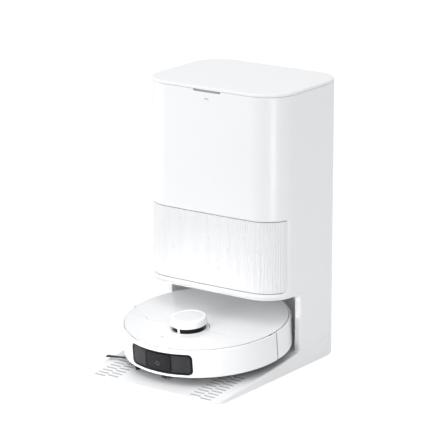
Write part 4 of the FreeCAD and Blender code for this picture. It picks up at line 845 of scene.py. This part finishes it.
def lid():
    """Top plate with rounded rims and the locating rim under it."""
    low = TOP - 6 * MM
    profile = round_profile(low, TOP, 0.5 * MM, 2.7 * MM, 5)
    plate = stack([plan_ring(shrink, z) for shrink, z in profile])
    piece(plate, "lid_plate", "lid", "white_lid", ["lid_panel"])
    rim_out, rim_in, rim_low = 3.8 * MM, 6.6 * MM, low - 8 * MM
    stop = BACK - 70 * MM

    def rim_spot(u, shrink, z):
        point, normal = TOWER.at(u)
        spot = point - normal * shrink
        return Vector((spot.x, spot.y, z))

    reach = side_u(stop)
    stations = spread(-reach, -SIDE_START, 50 * MM) + spread(-SIDE_START, -BOW_END, 5 * MM)[1:]
    stations += spread(-BOW_END, BOW_END, 30 * MM)[1:] + spread(BOW_END, SIDE_START, 5 * MM)[1:]
    stations += spread(SIDE_START, reach, 50 * MM)[1:]
    bm = bmesh.new()
    rows = []
    spots = [(rim_out, low), (rim_out, rim_low + 1 * MM), (rim_out + 0.8 * MM, rim_low)]
    spots += [(rim_in, rim_low), (rim_in, low)]
    for u in stations:
        rows.append([bm.verts.new(rim_spot(u, shrink, z)) for shrink, z in spots])
    for a, b in zip(rows, rows[1:]):
        for k in range(len(a)):
            m = (k + 1) % len(a)
            bm.faces.new((a[k], b[k], b[m], a[m]))
    bm.faces.new(rows[0])
    bm.faces.new(list(reversed(rows[-1])))
    piece(bm, "lid_rim", "lid", "white_lid")


FLUTE_PITCH = 5.5 * MM
FLUTE_DEPTH = 1.0 * MM
FLUTE_END = BOW_END + CORNER * (math.radians(66) - BOW_TURN)


def flute(u, v, w):
    """Depth of the upright flutes at distance u along the drawer's cover."""
    if abs(u) > FLUTE_END or w < -2.4 * MM:
        return 0
    across = (u / FLUTE_PITCH) % 1 - 0.5
    hollow = max(0, 1 - (across / 0.38) ** 2)
    fade = min(1, (FLUTE_END - abs(u)) / (4 * MM))
    return -FLUTE_DEPTH * hollow * fade


def drawer():
    """Fluted cover of the dust drawer."""
    gap = DRAWER_GAP
    end = DRAWER_U - gap
    radii = (15 * MM - gap, 15 * MM - gap, 5 * MM - gap, 5 * MM - gap)
    outline = rounded_loop(-end, end, DRAWER_LOW + gap, DRAWER_HIGH - gap, radii)
    bm = slab(outline, [], -6 * MM, 0, 0.8 * MM, 1.3 * MM, 4)
    count = math.floor(FLUTE_END / FLUTE_PITCH)
    cuts = []
    for i in range(-count, count):
        cuts += [(i + k) * FLUTE_PITCH for k in (0, 0.12, 0.24, 0.38, 0.5, 0.62, 0.76, 0.88)]
    slices(bm, "u", sorted(set(cuts + [u for u in tower_bends() if FLUTE_END < abs(u) < end])))
    clean_strips(bm)
    wrap(bm, TOWER, flute)
    piece(bm, "fluted_cover", "drawer", "white_fluted", ["drawer_cover"], sharp=50)


RAMP_TURN = 28 * MM
RAMP = Path(
    line_part(0, RAMP_FRONT, HALF - RAMP_TURN, RAMP_FRONT),
    arc_part(HALF - RAMP_TURN, RAMP_FRONT + RAMP_TURN, RAMP_TURN, 0, math.pi / 2),
    line_part(HALF, RAMP_FRONT + RAMP_TURN, HALF, BACK - CORNER),
    arc_part(HALF - CORNER, BACK - CORNER, CORNER, math.pi / 2, math.pi),
    line_part(HALF - CORNER, BACK, 0, BACK),
)


def ramp_ring(shrink, drop=None, z=None):
    """Ring round the ramp; its height is `drop` under the slope, or level at z."""
    front_end, corner_end = RAMP.parts[0][0], RAMP.parts[0][0] + RAMP.parts[1][0]
    side_end = corner_end + RAMP.parts[2][0]
    back_start = side_end + RAMP.parts[3][0]
    half = spread(0, front_end, 40 * MM)[1:] + spread(front_end, corner_end, 2.5 * MM)[1:]
    half += spread(corner_end, side_end, 30 * MM)[1:] + spread(side_end, back_start, 6 * MM)[1:]
    ring = []
    for u in [0] + half + [RAMP.length] + [-u for u in reversed(half)]:
        point, normal = RAMP.at(u)
        spot = point - normal * shrink
        height = z if z is not None else ramp_height(spot.y) - drop
        ring.append(Vector((spot.x, spot.y, height)))
    return ring


def ramp():
    """Wedge the robot drives up: soft top edges and a shadow gap at the floor."""
    edge = 3.6 * MM
    under = ((3 * MM, 0), (0.4 * MM, 0.5 * MM), (0, 1.2 * MM))
    rings = [ramp_ring(shrink, z=FOOT + rise) for shrink, rise in under]
    for i in range(6):
        turn = math.pi / 2 * i / 5
        rings.append(ramp_ring(edge * (1 - math.cos(turn)), drop=edge * (1 - math.sin(turn))))
    bm = stack(rings)
    piece(bm, "ramp_body", "station", "white_shell", ["base_ramp"])


TREAD_ROWS = 10
TREAD_PITCH = 13 * MM
TREAD_IN = 88 * MM
TREAD_OUT = 148 * MM
TREAD_SPLIT = 2.4 * MM
TREAD_BAR = 4.8 * MM


def grips():
    """Rubber bars of the ramp's two grip strips: two columns, half a pitch apart; their grey is partly
    painted shade.
    """
    slope = Matrix.Translation((0, 0, ramp_height(0))) @ Matrix.Rotation(PITCH, 4, "X")
    start = RAMP_FRONT + 6.5 * MM
    length = (TREAD_OUT - TREAD_IN - 3 * TREAD_SPLIT) / 2
    tip = TREAD_BAR / 2 - 0.1 * MM
    for name, side in (("left", -1), ("right", 1)):
        bars = []
        for column in range(2):
            x0 = TREAD_IN + TREAD_SPLIT + column * (length + TREAD_SPLIT)
            x0 = x0 if side > 0 else -x0 - length
            for row in range(TREAD_ROWS):
                y = (start + TREAD_PITCH * (row + (1 - column) / 2)) / math.cos(PITCH)
                outline = rounded_loop(x0, x0 + length, y, y + TREAD_BAR, (tip,) * 4, 4)
                bars.append(slab(outline, [], -0.6 * MM, 0.3 * MM, 0.1 * MM, 0.25 * MM, 2))
        node = "ramp_tread_" + name
        piece(turned(merge(bars), slope), "grip_bars_" + name, "station", "grey_tread", [node])


def status_light():
    led_low, led_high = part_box("status_led")
    mid = (led_low.z + led_high.z) / 2
    outline = rounded_loop(-5 * MM, 5 * MM, mid - 0.8 * MM, mid + 0.8 * MM, (0.7 * MM,) * 4, 4)
    bm = wrap(slab(outline, [], -1 * MM, 0.25 * MM, 0.1 * MM, 0.2 * MM, 2), TOWER)
    piece(bm, "status_light", "station", "led_white", ["status_led"])


# ---------------------------------------------------------------- robot, outside

FOLD_R = 2.5 * MM
FOLD_V = RING_TOP - FOLD_R
SIDE_LOW = 18 * MM
WALL = 2.2 * MM
FLANGE = 4.6 * MM
WINDOW_HALF = math.asin(75.5 / 175) * DISC
WINDOW = (23 * MM, 68 * MM, 10 * MM)


def fold_wrap(bm):
    """Wrap a slab round the robot and fold its top edge inwards to make the rim's flange."""
    bend = FOLD_R * math.pi / 2
    for vertex in bm.verts:
        u, v, w = vertex.co
        turn = u / DISC
        if v <= FOLD_V:
            radius, height = DISC + w, v
        elif v <= FOLD_V + bend:
            angle = (v - FOLD_V) / FOLD_R
            radius = DISC - FOLD_R + (FOLD_R + w) * math.cos(angle)
            height = FOLD_V + (FOLD_R + w) * math.sin(angle)
        else:
            radius = DISC - FOLD_R - (v - FOLD_V - bend)
            height = RING_TOP + w
        vertex.co = (radius * math.sin(turn), -radius * math.cos(turn), height)
    return bm


def side_slab(start, end, holes):
    """Part of the robot's side wall, laid flat, between two angles in degrees."""
    bend = FOLD_R * math.pi / 2
    u0, u1 = math.radians(start) * DISC, math.radians(end) * DISC
    high = FOLD_V + bend + FLANGE - FOLD_R
    outline = rounded_loop(u0, u1, SIDE_LOW, high, (1.5 * MM, 1.5 * MM, 0.5 * MM, 0.5 * MM), 3)
    bm = slab(outline, holes, -WALL, 0, 0.3 * MM, 0.7 * MM, 3)
    slices(bm, "u", spread(u0, u1, 6 * MM)[1:-1])
    slices(bm, "v", [FOLD_V + bend * i / 5 for i in range(6)])
    return fold_wrap(bm)


def bumper_gap_shade():
    """Black strips behind the joints between bumper and rear wall: painted shade that makes the gaps read
    dark.
    """
    inside = DISC - WALL
    web = rounded_ring(inside - 1.6 * MM, inside - 0.2 * MM, SIDE_LOW + 1 * MM, FOLD_V, 0.2 * MM, 2)
    strips = [lathe(web, turn - 1.5, turn + 1.5, 4) for turn in (90, 270)]
    robot_piece(merge(strips), "bumper_gap_shade", "robot", "black_rubber")


def robot_sides():
    window_low, window_high, turn = WINDOW
    hole = rounded_loop(-WINDOW_HALF, WINDOW_HALF, window_low, window_high, (turn,) * 4)
    robot_piece(side_slab(-89.4, 89.4, [hole]), "bumper_wall", "bumper", "white_robot", ["bumper"])
    robot_piece(side_slab(90.4, 269.6, []), "rear_side_wall", "robot", "white_robot", ["rear_wall"])


def curved_panel(half, low, high, turn, inner, outer, edge, holes=()):
    """Rounded panel that follows the robot's round nose."""
    outline = rounded_loop(-half, half, low, high, (turn,) * 4)
    bm = slab(outline, list(holes), inner, outer, 0.1 * MM, edge, 3)
    slices(bm, "u", spread(-half, half, 4 * MM)[1:-1])
    return wrap(bm, ROUND)


def nose_window():
    """Smoked window with its black border, raised camera block and lens."""
    low, high, turn = WINDOW
    gap = 0.25 * MM
    border = 4.5 * MM
    half = WINDOW_HALF - gap
    inner = rounded_loop(-half + border, half - border, low + border, high - border, (turn - 2.5 * MM,) * 4)
    frame_panel = curved_panel(half, low + gap, high - gap, turn - gap, -3.2 * MM, -0.5 * MM, 0.5 * MM,
                               [inner])
    robot_piece(frame_panel, "window_border", "bumper", "smoked_window", ["front_window"])
    pane = curved_panel(half - border + 1 * MM, low + border - 1 * MM, high - border + 1 * MM, 5 * MM,
                        -3.1 * MM, -1.4 * MM, 0.2 * MM)
    robot_piece(pane, "window_pane", "bumper", "smoked_window", finish="smoke_grey")
    block_half, block_low, block_high = 31.5 * MM, low + 2.6 * MM, high - 2.6 * MM
    rim = 3.4 * MM
    inner_half = block_half - rim
    opening = rounded_loop(-inner_half, inner_half, block_low + rim, block_high - rim, (3 * MM,) * 4)
    block = curved_panel(block_half, block_low, block_high, 6 * MM, -1.6 * MM, 0.7 * MM, 0.9 * MM,
                         [opening])
    robot_piece(block, "camera_surround", "bumper", "smoked_window", ["camera_bezel"])
    eye = circle_loop(0, 42 * MM, 4.2 * MM)
    lap = rim - 0.4 * MM
    face = curved_panel(block_half - lap, block_low + lap, block_high - lap, 3.4 * MM, -1.5 * MM, 0.0 * MM,
                        0.1 * MM, [eye])
    robot_piece(face, "camera_face", "bumper", "smoked_window", finish="camera_black")
    ring = turned(lathe(rounded_ring(3.3 * MM, 4.3 * MM, -1.2 * MM, 0.35 * MM, 0.2 * MM), steps=40), FACING)
    robot_piece(shifted(ring, 0, -DISC, 42 * MM), "lens_ring", "bumper", "lens_glass", finish="lens_trim")
    dome = [(0, -1.2 * MM), (3.0 * MM, -1.2 * MM)]
    dome += [(3.0 * MM * math.cos(t), -0.6 * MM + 0.9 * MM * math.sin(t)) for t in (0, 0.3, 0.6, 0.9, 1.2)]
    dome += [(0, 0.3 * MM)]
    glass = shifted(turned(lathe(dome, steps=36), FACING), 0, -DISC, 42 * MM)
    robot_piece(glass, "lens_dome", "bumper", "lens_glass", ["camera_lens"])


FACING = Matrix.Rotation(math.pi / 2, 4, "X")


def circle_loop(x, y, r, steps=40):
    return arc(x, y, r, 0, 360, steps)[:-1]


SEAM = 0.9 * MM
BEAD_R = 166 * MM
BEAD_RISE = 0.3 * MM
SEAM_Y = -51 * MM


def seam_line(shift):
    """Joint between the two covers, from the turret's seat out to the right rim."""
    points = []
    for i in range(9):
        x = (100 + 3 * i) * MM
        t = i / 8
        ease = t * t * (3 - 2 * t)
        points.append(Vector((x, SEAM_Y - 13 * MM * (1 - ease) + shift)))
    rim_x = math.sqrt(COVER_R ** 2 - (SEAM_Y + shift) ** 2)
    points.append(Vector((rim_x, SEAM_Y + shift)))
    return points


def seat_arc(radius, join_y):
    """Arc round the back of the turret's seat, from its right joint to its left one."""
    start = math.degrees(math.asin((join_y - TURRET_Y) / radius))
    return arc(0, TURRET_Y, radius, start, 180 - start, 24)


RIM_STEPS = 96
UNDER_SHARE = 0.967


def cover_underside(outline, holes):
    """Thicker part of a cover under its lip; the outline starts with the points of its round rim."""
    rim, rest = outline[:RIM_STEPS + 1], outline[RIM_STEPS + 1:]
    loop = [point * UNDER_SHARE for point in rim] + rest
    return slab(loop, holes, COVER_TOP - 3.5 * MM, COVER_TOP - 0.8 * MM, 0.1 * MM, 0.1 * MM, 2)


def covers():
    """Front cover with the turret's seat and the rear cover that lifts off."""
    edge = 0.7 * MM
    rim = seam_line(0)
    nose_turn = math.degrees(math.atan2(rim[-1].y, rim[-1].x))
    nose = arc(0, 0, COVER_R, -180 - nose_turn, nose_turn, RIM_STEPS)
    join_y = SEAM_Y - 5 * MM
    outline = nose + list(reversed(rim[:-1])) + seat_arc(SEAT_R, join_y)
    outline += [Vector((-p.x, p.y)) for p in rim[:-1]]
    holes = [circle_loop(0, TURRET_Y, 28 * MM)]
    for step in (-1, 0, 1):
        holes.append(circle_loop(step * 21.6 * MM, -126 * MM, 4.5 * MM, 24))
    front = slab(outline, holes, COVER_TOP - 0.9 * MM, COVER_TOP, 0.1 * MM, edge, 3)
    under = cover_underside(outline, holes)
    top = COVER_TOP + BEAD_RISE
    bead = rounded_ring(BEAD_R, COVER_R - 0.1 * MM, COVER_TOP - 0.5 * MM, top, 0.25 * MM, 3)
    reach = 90 + nose_turn - 0.15
    front_bead = lathe(bead, -reach, reach, 90)
    robot_piece(merge([front, under, front_bead]), "nose_cover", "robot", "white_robot", ["front_cover"])

    rim = seam_line(SEAM)
    tail_turn = math.degrees(math.atan2(rim[-1].y, rim[-1].x))
    tail = arc(0, 0, COVER_R, tail_turn, 180 - tail_turn, RIM_STEPS)
    outline = tail + [Vector((-p.x, p.y)) for p in reversed(rim[:-1])]
    outline += list(reversed(seat_arc(SEAT_R + SEAM, join_y + SEAM))) + rim[:-1]
    rear = slab(outline, [], COVER_TOP - 0.9 * MM, COVER_TOP, 0.1 * MM, edge, 3)
    under = cover_underside(outline, [])
    rear_bead = lathe(bead, reach + 0.4, 360 - reach - 0.4, 90)
    robot_piece(merge([rear, under, rear_bead]), "tail_cover", "rear_cover", "white_robot", ["rear_cover"])


def turret():
    """Lidar turret: raised seat, dark band, three posts and the cap."""
    seat = [(29 * MM, COVER_TOP - 0.4 * MM), (TURRET_R + 3.4 * MM, COVER_TOP - 0.4 * MM)]
    seat += [(TURRET_R + 3.2 * MM, COVER_TOP + 0.3 * MM), (TURRET_R + 2.4 * MM, COVER_TOP + 0.8 * MM)]
    seat += [(TURRET_R + 1.2 * MM, COVER_TOP + 0.9 * MM), (TURRET_R + 0.4 * MM, COVER_TOP + 0.5 * MM)]
    seat += [(TURRET_R - 1 * MM, COVER_TOP + 0.1 * MM), (29 * MM, COVER_TOP + 0.1 * MM)]
    robot_piece(shifted(lathe(seat), 0, TURRET_Y), "turret_seat", "robot", "white_robot")
    low, high = COVER_TOP + 0.2 * MM, COVER_TOP + 10.6 * MM
    band = rounded_ring(TURRET_R - 5.5 * MM, TURRET_R - 2.6 * MM, low, high, 0.3 * MM, 2)
    band = shifted(lathe(band), 0, TURRET_Y)
    robot_piece(band, "turret_band", "robot", "smoked_window", ["lidar_window"])
    profile = capped(TURRET_R, high - 0.4 * MM, 103.8 * MM, 0.5 * MM, 3.2 * MM)[:-1]
    profile += [(29.4 * MM, 103.8 * MM), (29.0 * MM, 103.6 * MM), (28.8 * MM, 103.0 * MM), (0, 103.0 * MM)]
    cap = shifted(lathe(profile, steps=120), 0, TURRET_Y)
    disc = lathe(capped(28.6 * MM, 102.8 * MM, 103.5 * MM, 0.1 * MM, 0.3 * MM), steps=120)
    # Top disc in a greyer white: painted reflection of the tower's underside.
    robot_piece(shifted(disc, 0, TURRET_Y), "turret_disc", "robot", "white_robot", finish="disc_reflection_grey")
    posts = []
    for turn in (0, 120, 240):
        web = rounded_ring(TURRET_R - 3.2 * MM, TURRET_R - 0.5 * MM, low, high, 0.3 * MM, 2)
        posts.append(shifted(lathe(web, turn - 3.6, turn + 3.6, 6), 0, TURRET_Y))
    robot_piece(merge([cap] + posts), "turret_cap", "robot", "white_robot", ["lidar_cap"])


def ring_slots():
    """Small dark bars in the rim's joint where the bumper's ends are guided: painted shade of the slots
    there.
    """
    slots = []
    low, high = RING_TOP - 0.6 * MM, RING_TOP + 0.3 * MM
    web = rounded_ring(COVER_R + 0.8 * MM, COVER_R + 2.8 * MM, low, high, 0.2 * MM, 2)
    for side in (-1, 1):
        slots.append(lathe(web, side * 84.5 - 1.5, side * 84.5 + 1.5, 4))
    robot_piece(merge(slots), "rim_slot_shade", "bumper", "dark_plastic")


def pictogram(kind):
    """Line drawing on a button cap, as thin raised rods about the origin."""
    thin = 0.28 * MM
    if kind == "power":
        turns = [math.radians(120 + 300 * i / 18) for i in range(19)]
        ring = [(2.1 * MM * math.cos(t), 2.1 * MM * math.sin(t), 0) for t in turns]
        return [tube(ring, thin, 6), tube([(0, 0.6 * MM, 0), (0, 2.6 * MM, 0)], thin, 6)]
    if kind == "home":
        roof = [(-2.5 * MM, 0.2 * MM, 0), (0, 2.4 * MM, 0), (2.5 * MM, 0.2 * MM, 0)]
        walls = [(-1.8, 0.4), (-1.8, -2), (1.8, -2), (1.8, 0.4)]
        walls = [(x * MM, y * MM, 0) for x, y in walls]
        return [tube(roof, thin, 6), tube(walls, thin, 6)]
    rows = []
    for radius in (1.1, 2.3):
        circle = [Vector((*point, 0)) for point in circle_loop(0, 0, radius * MM, 20)]
        rows.append(tube(circle, thin, 6, True))
    return rows


def buttons():
    for name, kind, step in (("clean", "spot", -1), ("power", "power", 0), ("dock", "home", 1)):
        spot = Matrix.Translation((step * 21.6 * MM, -126 * MM, 0))
        body = "button_" + name
        low, high = COVER_TOP - 2.3 * MM, COVER_TOP + 0.15 * MM
        cap = lathe(capped(4.15 * MM, low, high, 0.1 * MM, 0.4 * MM), steps=40)
        robot_piece(turned(cap, spot), body + "_cap", body, "icon_grey", [body])
        mark = turned(merge(pictogram(kind)), Matrix.Translation((0, 0, COVER_TOP + 0.1 * MM)))
        robot_piece(turned(mark, spot), body + "_mark", body, "icon_grey", finish="icon_mark")


# ---------------------------------------------------------------- robot, underneath

def joint_spot(name):
    """A joint's place in the robot's own frame."""
    return ROBOT_BACK @ Vector(JOINTS[name]["pos_m"])


ALONG_X = Matrix.Rotation(math.pi / 2, 4, "Y")
BRUSH_LOW = 4.4 * MM
BRUSH_REACH = 62 * MM
BRUSH_TURNS = (-165, -45, 75)


def bristle_fan(chance):
    """Fan of bristles along +X, a little ragged at its tips."""
    rods = []
    for i in range(34):
        share = (i % 17) / 8 - 1
        layer = BRUSH_LOW + (0.55 + 1.0 * (i // 17) + chance.uniform(-0.15, 0.15)) * MM
        reach = BRUSH_REACH - chance.uniform(0, 2.6) * MM
        bend = chance.uniform(-0.5, 0.5) * MM
        points = []
        for k in range(5):
            t = k / 4
            aside = share * (1.9 + 2.7 * t) * MM + bend * math.sin(math.pi * t)
            points.append((20 * MM + (reach - 20 * MM) * t, aside, layer + 0.2 * MM * t))
        rods.append(tube(points, 0.32 * MM, 5))
    return rods


def corner_brush():
    """Hub, three rubber roots and their bristle fans."""
    spot = joint_spot("side_brush_spin")
    chance = random.Random(7)
    hub = [(0, 5.4), (3.2, 5.4), (3.5, 4.7), (4.4, 4.4), (9.6, 4.4), (11.2, 5.0), (12, 6.4)]
    hub += [(12, 11.0), (11.5, 11.5), (4, 11.5), (4, 19.8), (3.4, 20.4), (0, 20.4)]
    parts = [lathe([(r * MM, z * MM) for r, z in hub], steps=48)]
    for turn in BRUSH_TURNS:
        root = [(7, -3.4), (22, -2.2), (26, -2.6), (27, 0), (26, 2.6), (22, 2.2), (7, 3.4)]
        root = [Vector(point) * MM for point in root]
        arm = [slab(root, [], BRUSH_LOW, BRUSH_LOW + 2.4 * MM, 0.5 * MM, 0.5 * MM, 3)]
        arm += bristle_fan(chance)
        parts.append(turned(merge(arm), Matrix.Rotation(math.radians(turn), 4, "Z")))
    brush = shifted(merge(parts), spot.x, spot.y)
    robot_piece(brush, "corner_brush", "side_brush", "black_rubber", ["side_brush"])


ROLLER_HALF = 80 * MM
ROLLER_CORE = 12.6 * MM
ROLLER_REACH = 18.8 * MM
ROLLER_ROWS = 5


def roller_point(x, base, radius, aside=0):
    """Point on the roller's V-shaped rows; base is the row's angle in degrees at its middle."""
    turn = math.radians(base + 55 * abs(x) / ROLLER_HALF) + aside / radius
    return Vector((x, radius * math.cos(turn), radius * math.sin(turn)))


def roller():
    """Main roller: core with end caps, rubber blades and bristle rows between them."""
    spot = joint_spot("roller_spin")
    half = ROLLER_HALF
    core = [(0, -half - 4 * MM), (4 * MM, -half - 4 * MM), (4 * MM, -half), (14.5 * MM, -half)]
    core += [(15 * MM, -half + 0.6 * MM), (15 * MM, -half + 2.4 * MM), (ROLLER_CORE, -half + 4 * MM)]
    core += [(r, -z) for r, z in reversed(core)]
    parts = [turned(lathe(core, steps=48), ALONG_X)]
    reach = half - 3 * MM
    for row in range(ROLLER_ROWS):
        base = 360 * row / ROLLER_ROWS
        rings = []
        for x in spread(-reach, reach, 5 * MM):
            low, high = ROLLER_CORE - 0.6 * MM, ROLLER_REACH
            neck = low + 2 * MM
            spots = [(low, -1.4), (neck, -0.9), (high, -0.6), (high, 0.6), (neck, 0.9), (low, 1.4)]
            rings.append([roller_point(x, base, r, aside * MM) for r, aside in spots])
        parts.append(stack(rings))
        for x in spread(-reach, reach, 2.6 * MM):
            for step in (-0.7, 0.7):
                foot = roller_point(x, base + 36, ROLLER_CORE - 0.4 * MM, step * MM)
                tip = roller_point(x, base + 36, ROLLER_REACH - 0.5 * MM, step * MM)
                parts.append(tube([foot, tip], 0.34 * MM, 5))
    whole = shifted(merge(parts), 0, spot.y, spot.z)
    robot_piece(whole, "bristle_roller", "roller", "brush_blue", ["main_brush"])


def drive_wheels():
    """Tyres with V-shaped lugs on spoked hubs."""
    for name, side in (("left", -1), ("right", 1)):
        low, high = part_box("drive_wheel_" + name)
        spot = Vector(((low.x + high.x) / 2, 0, WHEEL_R))
        body = "wheel_" + name
        parts = [lathe(rounded_ring(23.8 * MM, WHEEL_R - 1.6 * MM, -10 * MM, 10 * MM, 2 * MM), steps=96)]
        for i in range(26):
            for half in (-1, 1):
                edge = sorted((half * 0.7 * MM, half * 8.6 * MM))
                web = rounded_ring(WHEEL_R - 2.4 * MM, WHEEL_R, *edge, 0.6 * MM, 2)
                turn = 360 / 26 * (i + half * 0.22)
                parts.append(lathe(web, turn - 3.2, turn + 3.2, 3))
        robot_piece(shifted(turned(merge(parts), ALONG_X), *spot), "tyre_" + name, body, "black_rubber",
                    ["drive_wheel_" + name])
        holes = [circle_loop(0, 0, 4.2 * MM, 32)]
        for i in range(5):
            middle = 72 * i
            pocket = arc(0, 0, 20.5 * MM, middle - 24, middle + 24, 10)
            pocket += arc(0, 0, 10 * MM, middle + 18, middle - 18, 8)
            holes.append(pocket)
        rim = slab(circle_loop(0, 0, 24.4 * MM, 64), holes, -7.2 * MM, 7.2 * MM, 0.8 * MM, 0.8 * MM, 3)
        robot_piece(shifted(turned(rim, ALONG_X), *spot), "wheel_hub_" + name, body, "black_rubber",
                    finish="dark_plastic")


def nose_caster():
    """Caster wheel with a groove round its middle."""
    spot = joint_spot("caster_roll")
    half, radius, bore = 7 * MM, 13 * MM, 2.1 * MM
    profile = [(bore, -half + 0.8 * MM), (5 * MM, -half + 0.8 * MM), (5.6 * MM, -half)]
    profile += [(radius - 2.2 * MM, -half)]
    profile += [(radius - 0.6 * MM, -half + 0.8 * MM), (radius, -half + 2.4 * MM), (radius, -1 * MM)]
    profile += [(radius - 0.9 * MM, 0)]
    profile += [(r, -z) for r, z in reversed(profile[:-1])]
    wheel = shifted(turned(lathe(profile, steps=64), ALONG_X), 0, spot.y, spot.z)
    robot_piece(wheel, "caster_roll", "caster_wheel", "black_rubber", ["caster_wheel"])


# ---------------------------------------------------------------- soft pieces

PAD_R = 59.6 * MM
PAD_LOW = 2.1 * MM
PAD_HIGH = 7.9 * MM


def pad_spot(radius, turn):
    """Looped face of a mop pad: radial tufts, a sewn ring and a hollow middle."""
    share = radius / PAD_R
    tufts = 0.5 + 0.5 * math.sin(30 * turn + 9 * share) * math.cos(46 * share)
    ragged = noise.noise(Vector((radius * math.cos(turn), radius * math.sin(turn), 0)) * 420)
    crown = 1.5 * MM * share ** 6
    seam = 0.9 * MM * math.exp(-((radius - 0.84 * PAD_R) / (1.4 * MM)) ** 2)
    hollow = 0.9 * MM * math.exp(-(radius / (9 * MM)) ** 2)
    height = PAD_LOW + crown + seam + hollow + 0.7 * MM * (1 - tufts) * share + 0.25 * MM * (1 + ragged)
    return Vector((radius * math.cos(turn), radius * math.sin(turn), height))


def mop_pads():
    """Round looped-fabric pads, crowned underneath and flat against their holders."""
    sides = 180
    turns = [TAU * i / sides for i in range(sides)]
    side_rows = ((0.985, 0.35), (1.0, 0.6), (0.992, 0.85), (0.97, 1.0), (0.6, 1.0), (0.1, 1.0))
    for name in ("left", "right"):
        spot = joint_spot("mop_spin_" + name)
        rings = [[pad_spot(PAD_R * k / 30, turn) for turn in turns] for k in range(1, 30)]
        for share, height in side_rows:
            ring = []
            for turn in turns:
                fringe = 0.55 * MM * math.sin(90 * turn) * (1 if height < 0.9 else 0)
                radius = PAD_R * share - 0.6 * MM + fringe
                level = PAD_LOW + (PAD_HIGH - PAD_LOW) * height
                ring.append(Vector((radius * math.cos(turn), radius * math.sin(turn), level)))
            rings.append(ring)
        pad = shifted(stack(rings), spot.x, spot.y)
        made = robot_piece(pad, "mop_cloth_" + name, "mop_" + name, "mop_fabric", ["mop_pad_" + name],
                           sharp=80)


def bag_spot(low, high, across, along):
    """Skin of the filled dust bag; `across` runs round it and `along` from its floor to its top."""
    half = (high - low) / 2
    middle = (high + low) / 2
    bulge = (1 - abs(2 * along - 1) ** 3.2) ** 0.42
    cosine, sine = math.cos(across), math.sin(across)
    power = 0.52
    x = math.copysign(abs(cosine) ** power, cosine)
    y = math.copysign(abs(sine) ** power, sine)
    pleat = 1 - 0.035 * (0.5 + 0.5 * math.sin(9 * across + 5 * along)) * bulge
    crease = 1 - 0.03 * abs(noise.noise(Vector((3 * x, 3 * y, 4 * along))))
    sag = 0.97 + 0.03 * math.sin(math.pi * (1 - along)) ** 2
    scale = bulge * pleat * crease * sag
    height = low.z + (high.z - low.z) * along
    return Vector((middle.x + half.x * x * scale, middle.y + half.y * y * scale, height))


def dust_bag():
    """Filled fleece bag, pleated and creased, and the stiff collar that the duct pushes against."""
    low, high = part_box("dust_bag")
    low, high = low.copy(), high.copy()
    high.y -= 12 * MM
    turns = [TAU * i / 120 for i in range(120)]
    ends = [0.002, 0.008, 0.02, 0.045, 0.08]
    levels = ends + [0.12 + 0.76 * i / 24 for i in range(25)] + [1 - end for end in reversed(ends)]
    rings = [[bag_spot(low, high, turn, level) for turn in turns] for level in levels]
    made = piece(stack(rings), "fleece_bag", "drawer", "bag_fleece", ["dust_bag"], sharp=80)
    centre = (low + high) / 2
    plate = rounded_loop(-34 * MM, 34 * MM, -30 * MM, 30 * MM, (6 * MM,) * 4)
    collar = slab(plate, [circle_loop(0, 0, 15 * MM, 40)], 0, 2 * MM, 0.4 * MM, 0.6 * MM, 3)
    ring = lathe(rounded_ring(15 * MM, 18 * MM, 1 * MM, 9 * MM, 0.8 * MM), steps=48)
    whole = turned(merge([collar, ring]), Matrix.Rotation(-math.pi / 2, 4, "X"))
    whole = shifted(whole, centre.x, high.y - 1.5 * MM, centre.z)
    piece(whole, "bag_collar", "drawer", "bag_fleece", finish="icon_mark")


# ---------------------------------------------------------------- pieces that keep their CAD shape

EDGES = {
    "station": {"clean_tank": 3, "dirty_tank": 3, "clean_tank_cap": 1.2, "dirty_tank_cap": 1.2,
                "wash_tray": 0.8, "rear_hatch": 0.8, "power_inlet": 0.4, "hinge_bridge": 0.6,
                "suction_motor": 1.2, "dust_duct": 0.6, "control_board": 0.2, "dock_contacts": 0.5,
                "ir_window": 0.4, "rubber_feet": 0.4},
    "drawer": {"drawer_box": 0.8},
    "robot": {"dust_bin": 1, "battery_pack": 2, "robot_board": 0.2, "robot_fan": 0.8,
              "robot_contacts": 0.4},
    "arm_left": {"wheel_arm_left": 0.5},
    "mop_left": {"mop_holder_left": 0.5},
    "arm_right": {"wheel_arm_right": 0.5},
    "mop_right": {"mop_holder_right": 0.5},
    "caster_fork": {"caster_fork": 0.4},
    "lidar": {"lidar_rotor": 0.5},
}


def soft_edges():
    """CAD shapes redrawn with moulded edges; EDGES gives each body's nodes their radius in millimetres."""
    for body, nodes in EDGES.items():
        for node, edge in nodes.items():
            softened(node, body, edge * MM)


def build_station():
    tower_shell()
    bay_surround()
    finger_pocket()
    drawer_gap_shade()
    lid()
    drawer()
    ramp()
    grips()
    status_light()
    dust_bag()
    soft_edges()


def build_robot():
    robot_sides()
    bumper_gap_shade()
    nose_window()
    covers()
    turret()
    ring_slots()
    buttons()
    corner_brush()
    roller()
    drive_wheels()
    nose_caster()
    mop_pads()


build_camera()
build_studio()
paint_cad_nodes()
build_station()
build_robot()
